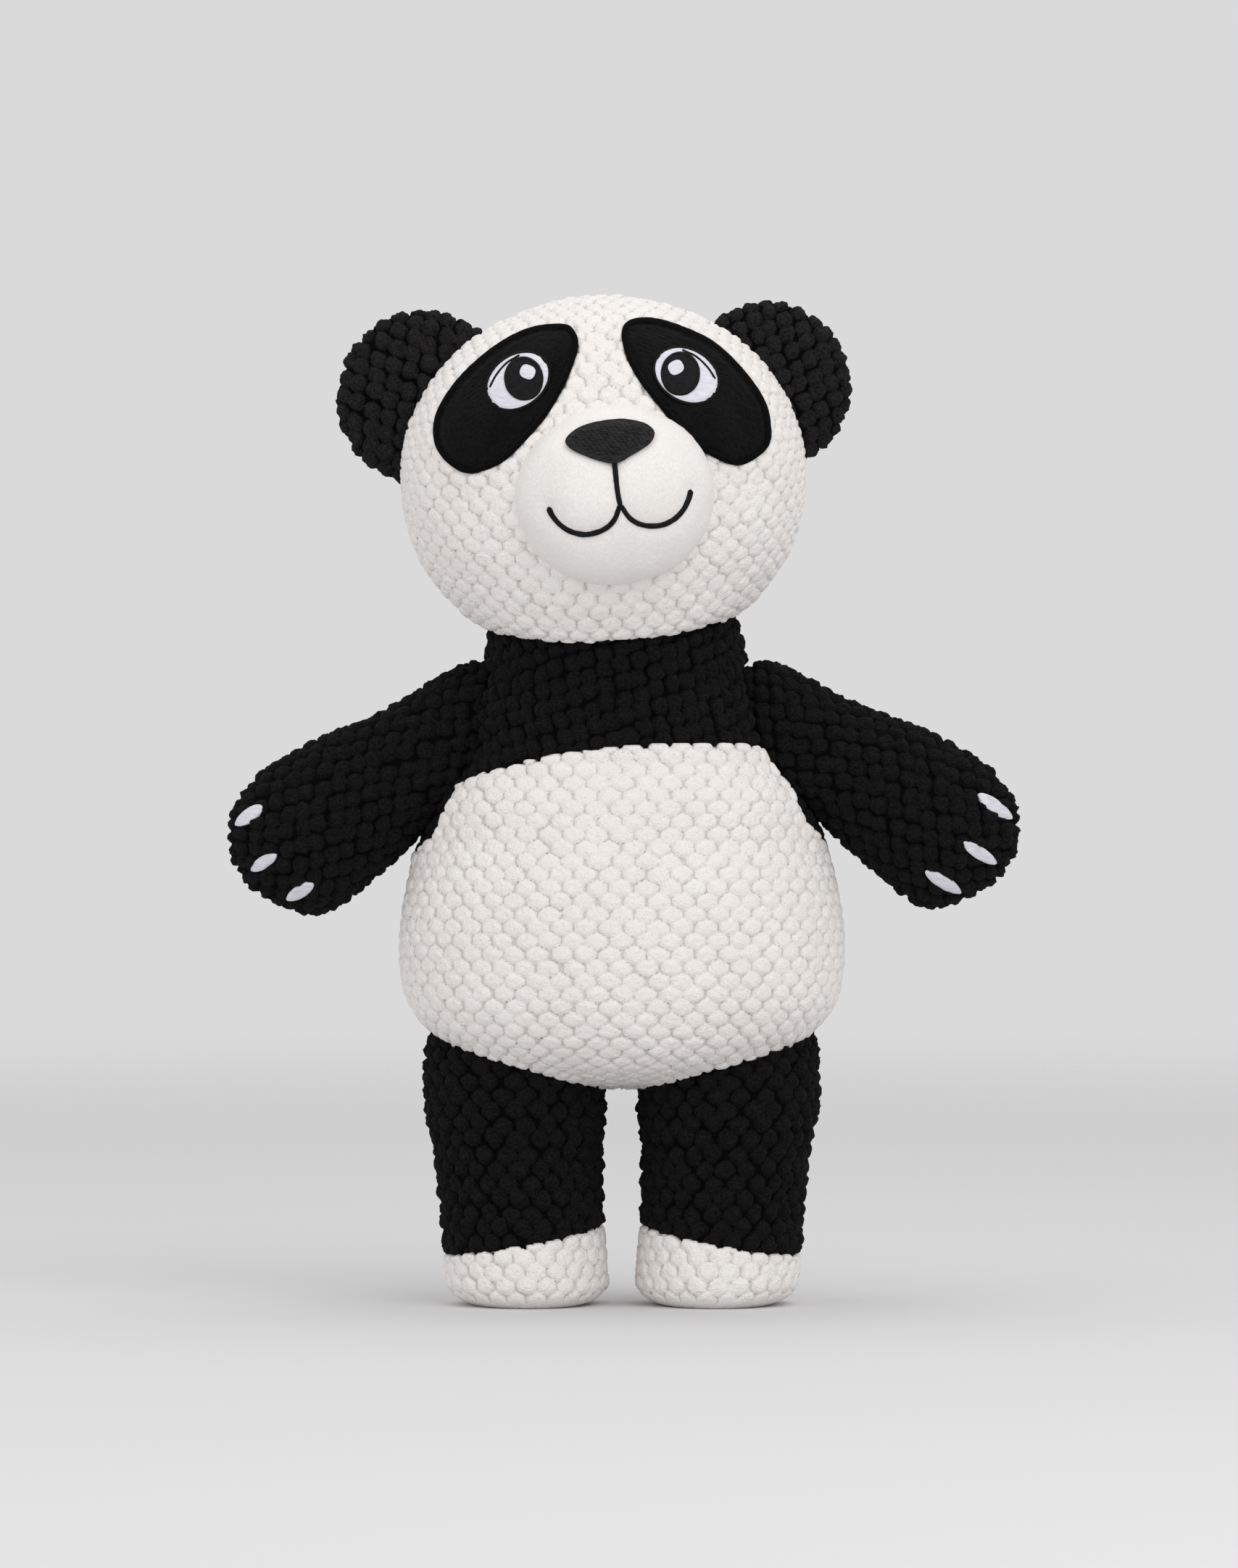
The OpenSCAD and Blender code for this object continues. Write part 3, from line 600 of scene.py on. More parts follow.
def torso_sections():
    """Smooth [height, x, y, half width, half depth] sections from the bottom to the top of the neck."""
    shape = [(0, 0, 0), (0.8, 0.20, 0.20), (3.2, 0.385, 0.41), (9.5, 0.60, 0.68), (18, 0.78, 0.84),
             (28, 0.91, 0.93), (43, 0.995, 0.99), (68, 1.015, 1), (98, 0.965, 0.97), (126, 0.85, 0.90),
             (148, 0.70, 0.82)]
    belly = [(BELLY_BOTTOM + up, 0, BODY_Y, w * BELLY_HALF[0], d * BELLY_HALF[1]) for up, w, d in shape]
    collar = [(NECK[2] - 19 + k * 9.5, NECK[0], BODY_Y, NECK_R + w, NECK_R + d) for k, w, d in CHEST_SIDES]
    dome = []
    for a in np.radians(np.linspace(12, 90, 8)):
        r = NECK_BALL * math.cos(a)
        dome.append((NECK[2] + NECK_BALL * math.sin(a), NECK[0], BODY_Y, r, r))
    return curve_through(belly + collar + dome, 16)


# The seam between chest and belly, seen from the front: [across, height].
CHEST_SEAM = [(-99, 197), (-93, 201), (-84, 210), (-79.5, 221), (-74, 232.5), (-62.5, 238), (-42, 243.5),
              (-23, 247.5), (0, 250), (27, 251.3), (52, 250.6), (66, 249), (71, 246), (76.5, 229), (84, 214),
              (92, 205), (99, 199)]


# The white and black cloth of each half, the way its angles run, and its seed.
TORSO_CLOTHS = [(("belly", "chest"), -1, 11), (("lower_back", "upper_back"), 1, 12)]


def seam_height(x):
    return np.interp(x, *zip(*CHEST_SEAM))


def at_share(sections, share):
    """Sections at shares of the way up the form, evenly spread along its front line."""
    step = np.hypot(np.diff(sections[:, 0]), np.diff(sections[:, 4]))
    run = np.concatenate([[0], np.cumsum(step)])
    return np.stack([np.interp(share * run[-1], run, sections[:, k]) for k in range(5)], axis=1), run[-1]


def torso_axis(rows):
    """Points up the middle of the torso."""
    return np.stack([0 * rows[:, 0], 0 * rows[:, 0] + BODY_Y, rows[:, 0]], axis=1)


def make_torso():
    sections = torso_sections()
    even = np.linspace(0, 1, 520)
    table, length = at_share(sections, even)
    seam_share, side_share = (np.interp(z, table[:, 0], even) for z in (SEAM_TOP, CHEST_SEAM[0][1]))
    angles = np.linspace(-math.pi / 2, math.pi / 2, TORSO_GRID)
    bottom, top = 0.02, 0.88
    rows, _ = at_share(sections, np.linspace(bottom, top, 330))
    halves = [ring_points(rows, turn * (math.pi / 2 - angles), chest_plan(rows[:, 0])) for turn in (-1, 1)]
    moves = swelling(halves, np.mean(torso_axis(rows), axis=0), sewn_to_limbs)
    for (names, turn, seed), move in zip(TORSO_CLOTHS, moves):
        for name, low, high in zip(names, (0.0, side_share - 0.03), (seam_share + 0.03, 0.90)):
            up = np.linspace(low, high, int((high - low) * length / FINE))
            rows, _ = at_share(sections, up)
            points = ring_points(rows, turn * (math.pi / 2 - angles), chest_plan(rows[:, 0]))
            points = points + spread(move, (up - bottom) / (top - bottom), np.linspace(0, 1, TORSO_GRID))
            u, v = flat_places(points)
            torso_cloth(name, points, torso_axis(rows)[:, None], u, v + low * length, seed)


def limb_distance(points, joint, flat=1.0):
    """Distance to the nearer of two mirrored joints, counted longer front to back by flat."""
    return np.minimum(*(np.linalg.norm((points - mirrored(joint, s)) * (1, flat, 1), axis=-1) for s in SIDES))


def sewn_to_limbs(points):
    """How firmly the torso's cloth is held: at the chest seam, shoulders, hips and neck."""
    z = points[..., 2]
    arms = 1 - between(limb_distance(points, SHOULDER), SHOULDER_BALL, SHOULDER_BALL + 9)
    legs = 1 - between(limb_distance(points, HIP), HIP_BALL, HIP_BALL + 9)
    seam = ridge(z - seam_height(points[..., 0]), 5)
    return np.maximum(np.maximum(seam, np.maximum(arms, legs)), between(z, NECK[2] - 6, NECK[2] + 4))


def torso_cloth(name, points, inside, u, v, seed):
    white = name in ("belly", "lower_back")
    z = points[..., 2]
    to_side = np.minimum(np.abs(u - u[:, :1]), np.abs(u - u[:, -1:]))
    inside_white = (seam_height(points[..., 0]) - z) + 2.0 * (knots(u, v, seed) - 0.5)
    shoulders, hips = limb_distance(points, SHOULDER, SHOULDER_FLAT), limb_distance(points, HIP)
    fade = between(to_side, -1, 2.0) * between(shoulders, SHOULDER_BALL - 1, SHOULDER_BALL + 3)
    fade = fade * between(hips, HIP_BALL - 2, HIP_BALL + 2)
    sink = 1.4 * ridge(to_side, 3.0) + 1.5 * ridge(shoulders - SHOULDER_BALL - 1, 4.0)
    if name == "lower_back":
        sink = sink + 1.6 * ridge(u, 1.6) * between(z, 132, 138) * (1 - between(z, 204, 210))
    if white:
        raised, crowns = bobbled(points, inside, u, v, seed, sink, inside_white, fade)
        raised[..., 2] = np.maximum(raised[..., 2], BELLY_BOTTOM - 0.4)
    else:
        raised, crowns = bobbled(points, inside, *along_rows(u, v, CHEST_SLANT), seed, sink, -inside_white,
                                 fade,
                                 BLACK_HEIGHT, across=9.6, rows=6.0, **BLACK_YARN)
    for s in SIDES:
        shoulder, hip = mirrored(SHOULDER, s), mirrored(HIP, s)
        raised = pushed_out(raised, shoulder, SHOULDER_BALL + SOCKET_GAP, (-s, 0, 0), SHOULDER_FLAT)
        raised = pushed_out(raised, hip, HIP_BALL + SOCKET_GAP, (0, 0, 1))
    if name == "lower_back":
        close_back(raised, u)
    piece = grid_object(f"{name}_plush", raised, WHITE_PLUSH if white else BLACK_PLUSH, crowns=crowns * fade)
    slot = "white_bobble_plush" if white else "black_bobble_plush"
    hand_over(piece, "torso", slot, f"{name}_panel", fill=0.75)


def close_back(cloth, u):
    """Ladder stitches over the seam that closes the lower back."""
    cells, faces = [], []
    turn = np.linspace(0, 2 * math.pi, 8, endpoint=False)
    across = np.linspace(-1, 1, 11)
    for k, z in enumerate(np.arange(*CLOSING)):
        row = np.argmin(np.abs(cloth[:, cloth.shape[1] // 2, 2] - z))
        order = np.argsort(u[row])
        skin = np.interp(across * STITCH_REACH, u[row, order], cloth[row, order, 1])
        bridge = np.maximum(skin, np.interp(across, [-1, 1], skin[[0, -1]])) + 0.3
        deep = np.where(np.abs(across) > 0.9, skin - 1.2, bridge)
        x = (across * STITCH_REACH)[:, None] + 0 * turn
        y = deep[:, None] + STITCH_R * np.cos(turn)
        up = (z + 0.8 * (-1) ** k * across)[:, None] + STITCH_R * np.sin(turn)
        index = np.arange(x.size).reshape(x.shape) + x.size * k
        side = np.roll(index, -1, axis=1)
        cells.append(np.stack([x, y, up], axis=-1).reshape(-1, 3))
        faces.append(np.stack([index[:-1], side[:-1], side[1:], index[1:]], axis=-1).reshape(-1, 4))
    piece = mesh_object("closing_stitches", np.concatenate(cells), np.concatenate(faces), CLOSING_THREAD)
    hand_over(piece, "torso", "sewing_thread", "back_closing_thread")


def mirrored(point, s):
    """A point on the panda's left, or its mirror image on the right."""
    return np.array([s * point[0], point[1], point[2]])


# ---- Arms ----

ARM_L = 117.0
ARM_SQUARE = 3.6        # exponent of the root of an arm, seen from the front
ARM_ROWS = 17.0         # the rows of an arm slant by this much
ARM_LIFT = 1.8          # the panda's left arm is held this much higher than the mean, and the right lower
# [along the arm, middle across it, half width, half depth]: the paw hangs a little below the arm's line.
ARM_SHAPE = [
    (18, 1.2, 27.6, 24.5), (32, 1.8, 29.0, 25.8), (52, 0.9, 32.6, 27.6), (70, -0.8, 34.8, 28.8),
    (85, -2.3, 35.0, 28.2), (96, -3.4, 32.8, 26.0), (105, -1.9, 26.8, 21.0), (112, -0.8, 18.4, 14.8),
    (116.4, -0.8, 9.5, 7.6), (117.8, -0.8, 0.2, 0.2),
]


def arm_sections(s):
    """[along the arm, middle across it, 0, half width, half depth] sections from the root to the paw."""
    size = SHOULDER_BALL - 0.6
    ball = []
    for a in np.radians(np.linspace(20, 88, 6)):
        wide = 0.94 * size * (1 - math.cos(a) ** ARM_SQUARE) ** (1 / ARM_SQUARE)
        ball.append((-size * math.cos(a), 0.4 * math.sin(a), 0, wide, size * math.sin(a) / SHOULDER_FLAT))
    paw = [(d, c + s * ARM_LIFT * min(d / 40, 1), 0, w, t) for d, c, w, t in ARM_SHAPE]
    return curve_through(ball + paw, 16)


def on_arm(points, s):
    """From the arm's own frame, +Z along the arm, to the row frame."""
    return turned(points, s * (90 + ARM_DROOP), "y") + mirrored(SHOULDER, s)


CLAW_W = 5.6
# Each claw's outer end along the arm, its place across it, its tilt, and its length on each paw.
CLAWS = [(108.5, 18.2, -8, 19, 15.5), (112, -3.4, -4, 18.5, 13.5), (104.5, -22.7, -2, 19, 14.5)]


def claw_places(s):
    """Middle along and across the arm, tilt and length of each claw of one paw."""
    for end, out, tilt, left, right in CLAWS:
        length = left if s > 0 else right
        yield end - length / 2, out + s * ARM_LIFT, tilt, length


def claw_frame(along, across, place):
    """Coordinates of points seen from the front, in a claw's own frame: along it and across it."""
    middle, out, tilt, _ = place
    du, dv = along - middle, across - out
    a = math.radians(tilt)
    return du * math.cos(a) + dv * math.sin(a), -du * math.sin(a) + dv * math.cos(a)


def sewn_to_claws(points):
    """How firmly an arm's cloth is held: at the shoulder, and where the claws are sewn on."""
    along = points[..., 2]
    return np.maximum(1 - between(along, 20, 32), between(along, 70, 82) * (points[..., 1] < 0))


def make_arms():
    rows_up, around = (np.linspace(0, 1, count) for count in ARM_GRID)
    angles = (around - 0.5) * math.pi
    for s, side in SIDES.items():
        rows, _ = at_share(arm_sections(s), rows_up)
        halves = [ring_points(rows * (1, -s, 1, 1, 1), turn * (math.pi / 2 - angles), 2.2)
                  for turn in (-1, 1)]
        moves = swelling(halves, np.array([0, 0, 50.0]), sewn_to_claws, cap=3.0)
        axis = np.stack([-s * rows[:, 1], 0 * rows[:, 0], np.minimum(rows[:, 0], ARM_L - 20)], axis=1)
        for name, own, move, seed in zip(("front", "back"), halves, moves, (21, 23)):
            own = own + spread(move, rows_up, around)
            u, v = flat_places(own)
            edge = np.minimum(np.abs(u - u[:, :1]), np.abs(u - u[:, -1:]))
            fade = between(edge, -1, 2.0)
            sink = 1.4 * ridge(edge, 3.0)
            for place in claw_places(s) if name == "front" else ():
                along, across = claw_frame(own[..., 2], -s * own[..., 0], place)
                leaf = np.hypot(along / (place[3] / 2 - 0.2), across / (CLAW_W / 2 - 0.2))
                sink = sink + 2.6 * (1 - between(leaf, 0.75, 1.1))
            places = along_rows(u, v, -s * ARM_ROWS)
            raised, crowns = bobbled(on_arm(own, s), on_arm(axis, s)[:, None], *places, seed + (s < 0), sink,
                                     fade=fade, height=BLACK_HEIGHT, across=9.4, rows=6.2, **BLACK_YARN)
            piece = grid_object(f"arm_{name}_plush_{side}", raised, BLACK_PLUSH, crowns=crowns * fade)
            hand_over(piece, f"arm_{side}", "black_bobble_plush", f"arm_{name}_{side}", fill=0.7)


# ---- Legs and feet ----

LEG_BOTTOM_X, FOOT_Y = 41.8, -6.0
HIP_SQUARE = 5.0        # exponent of the root of a leg, which is round about the line through both hips
SOLE_RUN = 4.0          # the rows of a leg are counted from the floor by this much
LEG_W, FOOT_L = 75.0, 84.0
CUFF_Z = 27.0
FOOT_KNOTS, FOOT_PITCH, FOOT_ROWS = 24, 10.2, 6.5
LEG_CLOTH = (0.08, 0.8)         # shares of the way up a leg between which its cloth swells


def leg_sections():
    """[height, x, y, half width, half depth] sections of the panda's left leg, from the floor to the hip."""
    shape = [(0, 0.64, 0.82), (1.2, 0.75, 0.87), (3.5, 0.85, 0.935), (9, 0.955, 0.985), (18, 1, 1),
             (30, 1, 0.97), (46, 1.0, 0.92), (66, 1.03, 0.895), (84, 1.06, 0.895)]
    rows = [(z, np.interp(z, (0, HIP[2]), (LEG_BOTTOM_X, HIP[0])), BODY_Y + FOOT_Y * (1 - z / HIP[2]),
             w * LEG_W / 2, d * FOOT_L / 2) for z, w, d in shape]
    for a in np.radians([12, 24, 36, 48, 58, 68, 77, 84]):
        up, deep = math.sin(a), math.cos(a)
        wide = 1.06 * HIP_BALL * (1 - up ** HIP_SQUARE) ** (1 / HIP_SQUARE)
        rows.append((HIP[2] + HIP_BALL * up, HIP[0], BODY_Y, wide, HIP_BALL * deep))
    return curve_through(rows, 16)


def sewn_to_sole(points):
    """How firmly a leg's cloth is held: at the sole, and high up where the torso covers it."""
    return np.maximum(1 - between(points[..., 2], 9, 18), between(points[..., 2], 72, 84))


def make_legs():
    sections = leg_sections()
    turn = np.linspace(0, 1, LEG_GRID + 1)
    angles = turn * 2 * math.pi + math.pi / 2
    length = at_share(sections, np.zeros(1))[1]
    rows, _ = at_share(sections, np.linspace(*LEG_CLOTH, 120))
    move, = swelling([ring_points(rows, angles, 2.1)], np.array([HIP[0], BODY_Y, 45]), sewn_to_sole, cap=2.5)
    for s, side in SIDES.items():
        for foot, low, high in ((True, 0.0, 0.36), (False, LEG_CLOTH[0], 1.0)):
            up = np.linspace(low, high, int((high - low) * length / FINE))
            rows, _ = at_share(sections, up)
            points = ring_points(rows, angles[:-1], 2.1)
            points = points + spread(move, (up - LEG_CLOTH[0]) / np.ptp(LEG_CLOTH), turn[:-1])
            inside = np.stack([rows[:, 1], 0 * rows[:, 0] + BODY_Y, np.maximum(rows[:, 0], 12)], axis=1)
            u, v = np.meshgrid((turn[:-1] - 0.5) * FOOT_KNOTS * FOOT_PITCH, up * length)
            leg_cloth(s, side, foot, points, inside[:, None], u, v)


def leg_cloth(s, side, foot, points, inside, u, v):
    """The white or black cloth of a leg. The border between them slants and follows the knots a little."""
    seed = 31 + (s < 0)
    pitch = {"across": FOOT_PITCH, "rows": FOOT_ROWS, **(WHITE_YARN if foot else BLACK_YARN)}
    out = LEG_W / 2 * np.sin(u / (FOOT_KNOTS * FOOT_PITCH) * 2 * math.pi)
    cuff = CUFF_Z - math.tan(math.radians(CUFF_TILT)) * out
    white = cuff - (v - SOLE_RUN) + 2.0 * (knots(u, v, seed, FOOT_PITCH, FOOT_ROWS) - 0.5)
    ground = between(v - SOLE_RUN, 0, 5)
    raised, crowns = bobbled(points, inside, u, v, seed if foot else seed + 3, ground - 1,
                             white if foot else -white, np.maximum(ground, 0.02),
                             1.8 if foot else BLACK_HEIGHT, **pitch)
    raised[..., 2] = np.maximum(raised[..., 2], 0)
    raised[..., 0] *= s
    colour, name, node = ("white", "foot_band", "foot_band") if foot else ("black", "leg", "leg_cover")
    made = WHITE_PLUSH if foot else BLACK_PLUSH
    piece = grid_object(f"{name}_plush_{side}", raised, made, closed=True, crowns=crowns)
    hand_over(piece, f"leg_{side}", f"{colour}_bobble_plush", f"{node}_{side}", fill=0.8)


# ---- Embroidery and cloth that lie on another surface ----

def on(surface, x, z, lift):
    """Points raised off a surface that is given as a function of two coordinates, seen from the front."""
    d = 0.4
    across = surface(x + d, z) - surface(x - d, z)
    up = surface(x, z + d) - surface(x, z - d)
    n = np.cross(across, up)
    n /= np.linalg.norm(n, axis=-1, keepdims=True)
    n = n * np.where(n[..., 1:2] > 0, -1, 1)
    return surface(x, z) + n * lift[..., None]


def closed_outline(handles, steps=24):
    """A smooth closed outline through its handles."""
    h = np.array(handles, float)
    run = curve_through(np.concatenate([h[-2:], h, h[:2]]), steps)
    return run[2 * steps:2 * steps + len(h) * steps]


def inside_by(x, z, outline):
    """How far points lie inside a star-shaped outline, in millimetres; negative outside."""
    middle = outline.mean(0)
    angle = np.arctan2(outline[:, 1] - middle[1], outline[:, 0] - middle[0])
    order = np.argsort(angle)
    radius = np.hypot(*(outline - middle).T)[order]
    angle = angle[order]
    here = np.arctan2(z - middle[1], x - middle[0])
    return np.interp(here, angle, radius, period=2 * math.pi) - np.hypot(x - middle[0], z - middle[1])


def raised_form(name, surface, outline, rings, lift, made, skirt=1.8):
    """A patch that covers an outline. lift gives its height from x, z and the distance to its edge."""
    middle = outline.mean(0)
    spoke = outline - middle
    tangent = np.roll(outline, -1, axis=0) - np.roll(outline, 1, axis=0)
    cosine = np.abs(spoke[:, 0] * tangent[:, 1] - spoke[:, 1] * tangent[:, 0])
    cosine = cosine / (np.linalg.norm(tangent, axis=1) * np.maximum(np.linalg.norm(spoke, axis=1), 1e-6))
    share = np.linspace(0.0, 1, rings) ** 0.85
    x = middle[0] + share[:, None] * spoke[None, :, 0]
    z = middle[1] + share[:, None] * spoke[None, :, 1]
    edge = (1 - share)[:, None] * (np.linalg.norm(spoke, axis=1) * cosine)[None]
    height = lift(x, z, edge)
    points = np.concatenate([on(surface, x, z, height), on(surface, x[-1:], z[-1:], height[-1:] - skirt)])
    return grid_object(name, points, made, closed=True)


def satin_line(name, surface, run, width, height, made, closed=False, base=0.0, pitch=0.7):
    """A raised line of satin stitches along a run of places on a surface."""
    length = np.concatenate([[0], np.cumsum(np.linalg.norm(np.diff(run, axis=0), axis=1))])
    count = int(length[-1] / 0.22)
    even = np.linspace(0, length[-1], count)
    line = np.stack([np.interp(even, length, run[:, k]) for k in (0, 1)], axis=1)
    ahead, behind = np.roll(line, -1, axis=0), np.roll(line, 1, axis=0)
    if not closed:
        ahead[-1], behind[0] = line[-1], line[0]
    tangent = ahead - behind
    tangent /= np.maximum(np.linalg.norm(tangent, axis=1, keepdims=True), 1e-9)
    side = np.stack([-tangent[:, 1], tangent[:, 0]], axis=1)
    t = np.linspace(-1, 1, 13)
    ragged = 1 + 0.07 * np.sin(even / pitch * 2 * math.pi) + 0.05 * grain(even, even * 0, 1.7, 1, 7)
    if not closed:
        end = np.minimum(even, length[-1] - even)
        ragged = ragged * np.sqrt(np.clip(end / (width * 0.5), 0.02, 1))
    across = ragged[:, None] * t[None] * width / 2
    x = line[:, :1] + side[:, :1] * across
    z = line[:, 1:] + side[:, 1:] * across
    thread = 0.08 * np.sin((even[:, None] + across * 0.4) / pitch * 2 * math.pi)
    lift = base + (height + thread) * np.sqrt(1 - t[None] ** 2) * ragged[:, None] - 0.25
    points = on(surface, x, z, lift)
    return grid_object(name, points.transpose(1, 0, 2), made, closed=closed)


def head_front(x, z):
    """Points of the front of the head, from places in the head's own frame."""
    low, high = np.full(np.shape(x), -100.0), np.zeros(np.shape(x))
    for _ in range(26):
        y = (low + high) / 2
        p = turned(np.stack([x, y, z], axis=-1), -HEAD_PITCH, "x")
        outside = head_level(p) > 1
        low, high = np.where(outside, y, low), np.where(outside, high, y)
    return in_head(np.stack([x, (low + high) / 2, z], axis=-1))


# ---- Eyes ----

PATCHES = {
    RIGHT: [(-13.1, 64.7), (-8.9, 61.4), (-7.9, 55.4), (-11.3, 45.8), (-17.3, 34.5), (-24, 24.9),
            (-32.9, 15.6), (-42.6, 7.2), (-51.5, 3.3), (-60.2, 2.6), (-68.1, 8), (-72.5, 16.3),
            (-71.5, 27.6), (-63.9, 39.6), (-53, 50.2), (-39.5, 59.3), (-26.2, 64.3)],
    LEFT: [(15.3, 65.1), (25.6, 65.2), (39.5, 60.1), (52.2, 52.6), (64, 39.8), (71.9, 26.9), (74.1, 16.5),
           (72.3, 6.4), (60.6, -0.3), (49.4, 3.6), (39, 11.1), (31.4, 20.4), (25.3, 28.6), (18.2, 38.9),
           (13.1, 50), (11.6, 60.4)],
}
PATCH_LIFT = 1.5
EYES = {RIGHT: (-34.6, 40.8), LEFT: (38.4, 39.4)}
EYE_HALF, EYE_TILT = (14.5, 10.9), -33.0
# Middle of the iris and of its highlight, from the middle of the eye.
IRIS, IRIS_HALF = (-2.8, 0.45), (8.4, 9.3)
GLINT, GLINT_HALF = (-4.7, 3.0), (3.25, 2.9)
LID = [(12.2, -2.6), (9.0, 2.7), (4.4, 7.5), (-1.6, 10.8)]


def oval_outline(centre, half, tilt, steps=150, corner=2.0):
    """A closed oval, tilted anticlockwise in degrees."""
    a = np.linspace(0, 2 * math.pi, steps, endpoint=False)
    c, d = np.cos(a), np.sin(a)
    x = half[0] * np.sign(c) * np.abs(c) ** (2 / corner)
    z = half[1] * np.sign(d) * np.abs(d) ** (2 / corner)
    t = math.radians(tilt)
    places = np.stack([x * math.cos(t) - z * math.sin(t), x * math.sin(t) + z * math.cos(t)], axis=1)
    return places + centre


def sided(places, s):
    """Mirrors places to one side of the face."""
    return np.array(places, float) * (s, 1)


def make_eyes():
    for s, side in SIDES.items():
        patch = closed_outline(PATCHES[s])
        at = np.array(EYES[s])

        def line(name, run, width, height, base, made=BLACK_THREAD, closed=True):
            if closed:
                run = np.concatenate([run, run[:1]])
            base = base + PATCH_LIFT
            thread = satin_line(f"{name}_{side}", head_front, run, width, height, made, closed, base)
            hand_over(thread, "head", "black_embroidery")

        def dish(name, centre, half, tilt, level, crown, colour, node, corner=2.0):
            """An oval of flat stitches, and its outline."""
            def lift(x, z, edge):
                rows = 0.05 * np.sin(z * 2 * math.pi / 0.6 + grain(x, z, 3, 0.6, 9))
                return PATCH_LIFT + level + crown * between(edge, 0, 1.6) + rows

            outline = sided(oval_outline(centre, half, tilt, corner=corner), s) + at
            made = WHITE_THREAD if colour == "white" else BLACK_THREAD
            form = raised_form(f"{name}_stitching_{side}", head_front, outline, 44, lift, made, 1.0)
            hand_over(form, "head", f"{colour}_embroidery", f"{node}_{side}")
            return outline

        def pile(x, z, edge):
            lie = between(grain(x, z, 17, 14, 6), -0.5, 0.6)
            stroke = np.sin((0.5 * s * x + z) * 3.4 + 2.2 * grain(x, z, 4, 3, 3)) * lie
            puff = PATCH_LIFT + 0.9 * between(edge, 2, 14) + 0.13 * stroke + 0.26 * grain(x, z, 1.3, 1.3, 4)
            eye = np.hypot(x - at[0], z - at[1])
            return puff - 0.7 * ridge(edge - 2.6, 0.8) - 0.6 * (1 - between(eye, 12, 17)) - 0.6 * (edge < 0.3)

        piece = raised_form(f"eye_patch_pile_{side}", head_front, patch, 84, pile, BLACK_PILE)
        hand_over(piece, "head", "black_short_pile", f"eye_patch_{side}")
        line("eye_patch_edge", patch + (patch.mean(0) - patch) * 0.03, 2.2, 0.5, 0.1, PATCH_THREAD)
        white = dish("eye_white", (0, 0), EYE_HALF, EYE_TILT, 0.45, 0.55, "white", "eye_white")
        line("eye_outline", at + (white - at) * 1.02, 1.1, 0.6, 0.5)
        dish("iris", IRIS, IRIS_HALF, 0, 1.05, 0.5, "black", "iris")
        line("iris_edge", sided(oval_outline(IRIS, np.array(IRIS_HALF) - 0.7, 0), s) + at, 1.5, 0.6, 1.5)
        dish("eye_highlight", GLINT, GLINT_HALF, 25, 1.7, 0.4, "white", "eye_highlight", 2.6)
        line("eyelid_line", sided(curve_through(LID, 20), s) + at, 1.0, 0.6, 1.0, closed=False)


# ---- Muzzle, nose and mouth ----

MUZZLE = np.array([4.8, -67, -10.3])
NOSE = [(-18.5, 25.8), (-15.1, 29), (-9.4, 31.2), (-1.3, 32.1), (7.6, 31.8), (14.9, 29.7),
        (18.9, 27.3), (20.5, 24.4), (18.7, 21.3), (15.2, 19.1), (9.6, 16.6), (3, 14.1), (-3.4, 15.2),
        (-11, 18.8), (-16.8, 22.6)]
TATAMI = 1.05           # width of a row of the nose's stitches
MOUTH_X = 1.9           # the mouth is this far to one side of the muzzle's middle
SMILE = [(-32, -1.8), (-30.5, -5.9), (-27.1, -10.8), (-22.5, -14.3), (-16.3, -16.1), (-8.9, -14.9),
         (-3.6, -11.2), (0, -4.6)]
STEM = [(0, -5.6), (-0.5, 2), (-0.2, 16)]


def in_muzzle(points):
    return in_head(turned(points, -MUZZLE_ROLL, "y") + MUZZLE)


def muzzle_front(x, z):
    inside = np.clip(1 - (x / MUZZLE_HALF[0]) ** 2 - (z / MUZZLE_HALF[2]) ** 2, 0, 1)
    return in_muzzle(np.stack([x, -MUZZLE_HALF[1] * np.sqrt(inside), z], axis=-1))


def mouth_runs(steps, stem_steps):
    """The right and left half of the smile, and the stem below the nose."""
    smile = curve_through(SMILE, steps)
    return [run + (MOUTH_X, 0) for run in (smile, sided(smile, -1), curve_through(STEM, stem_steps))]


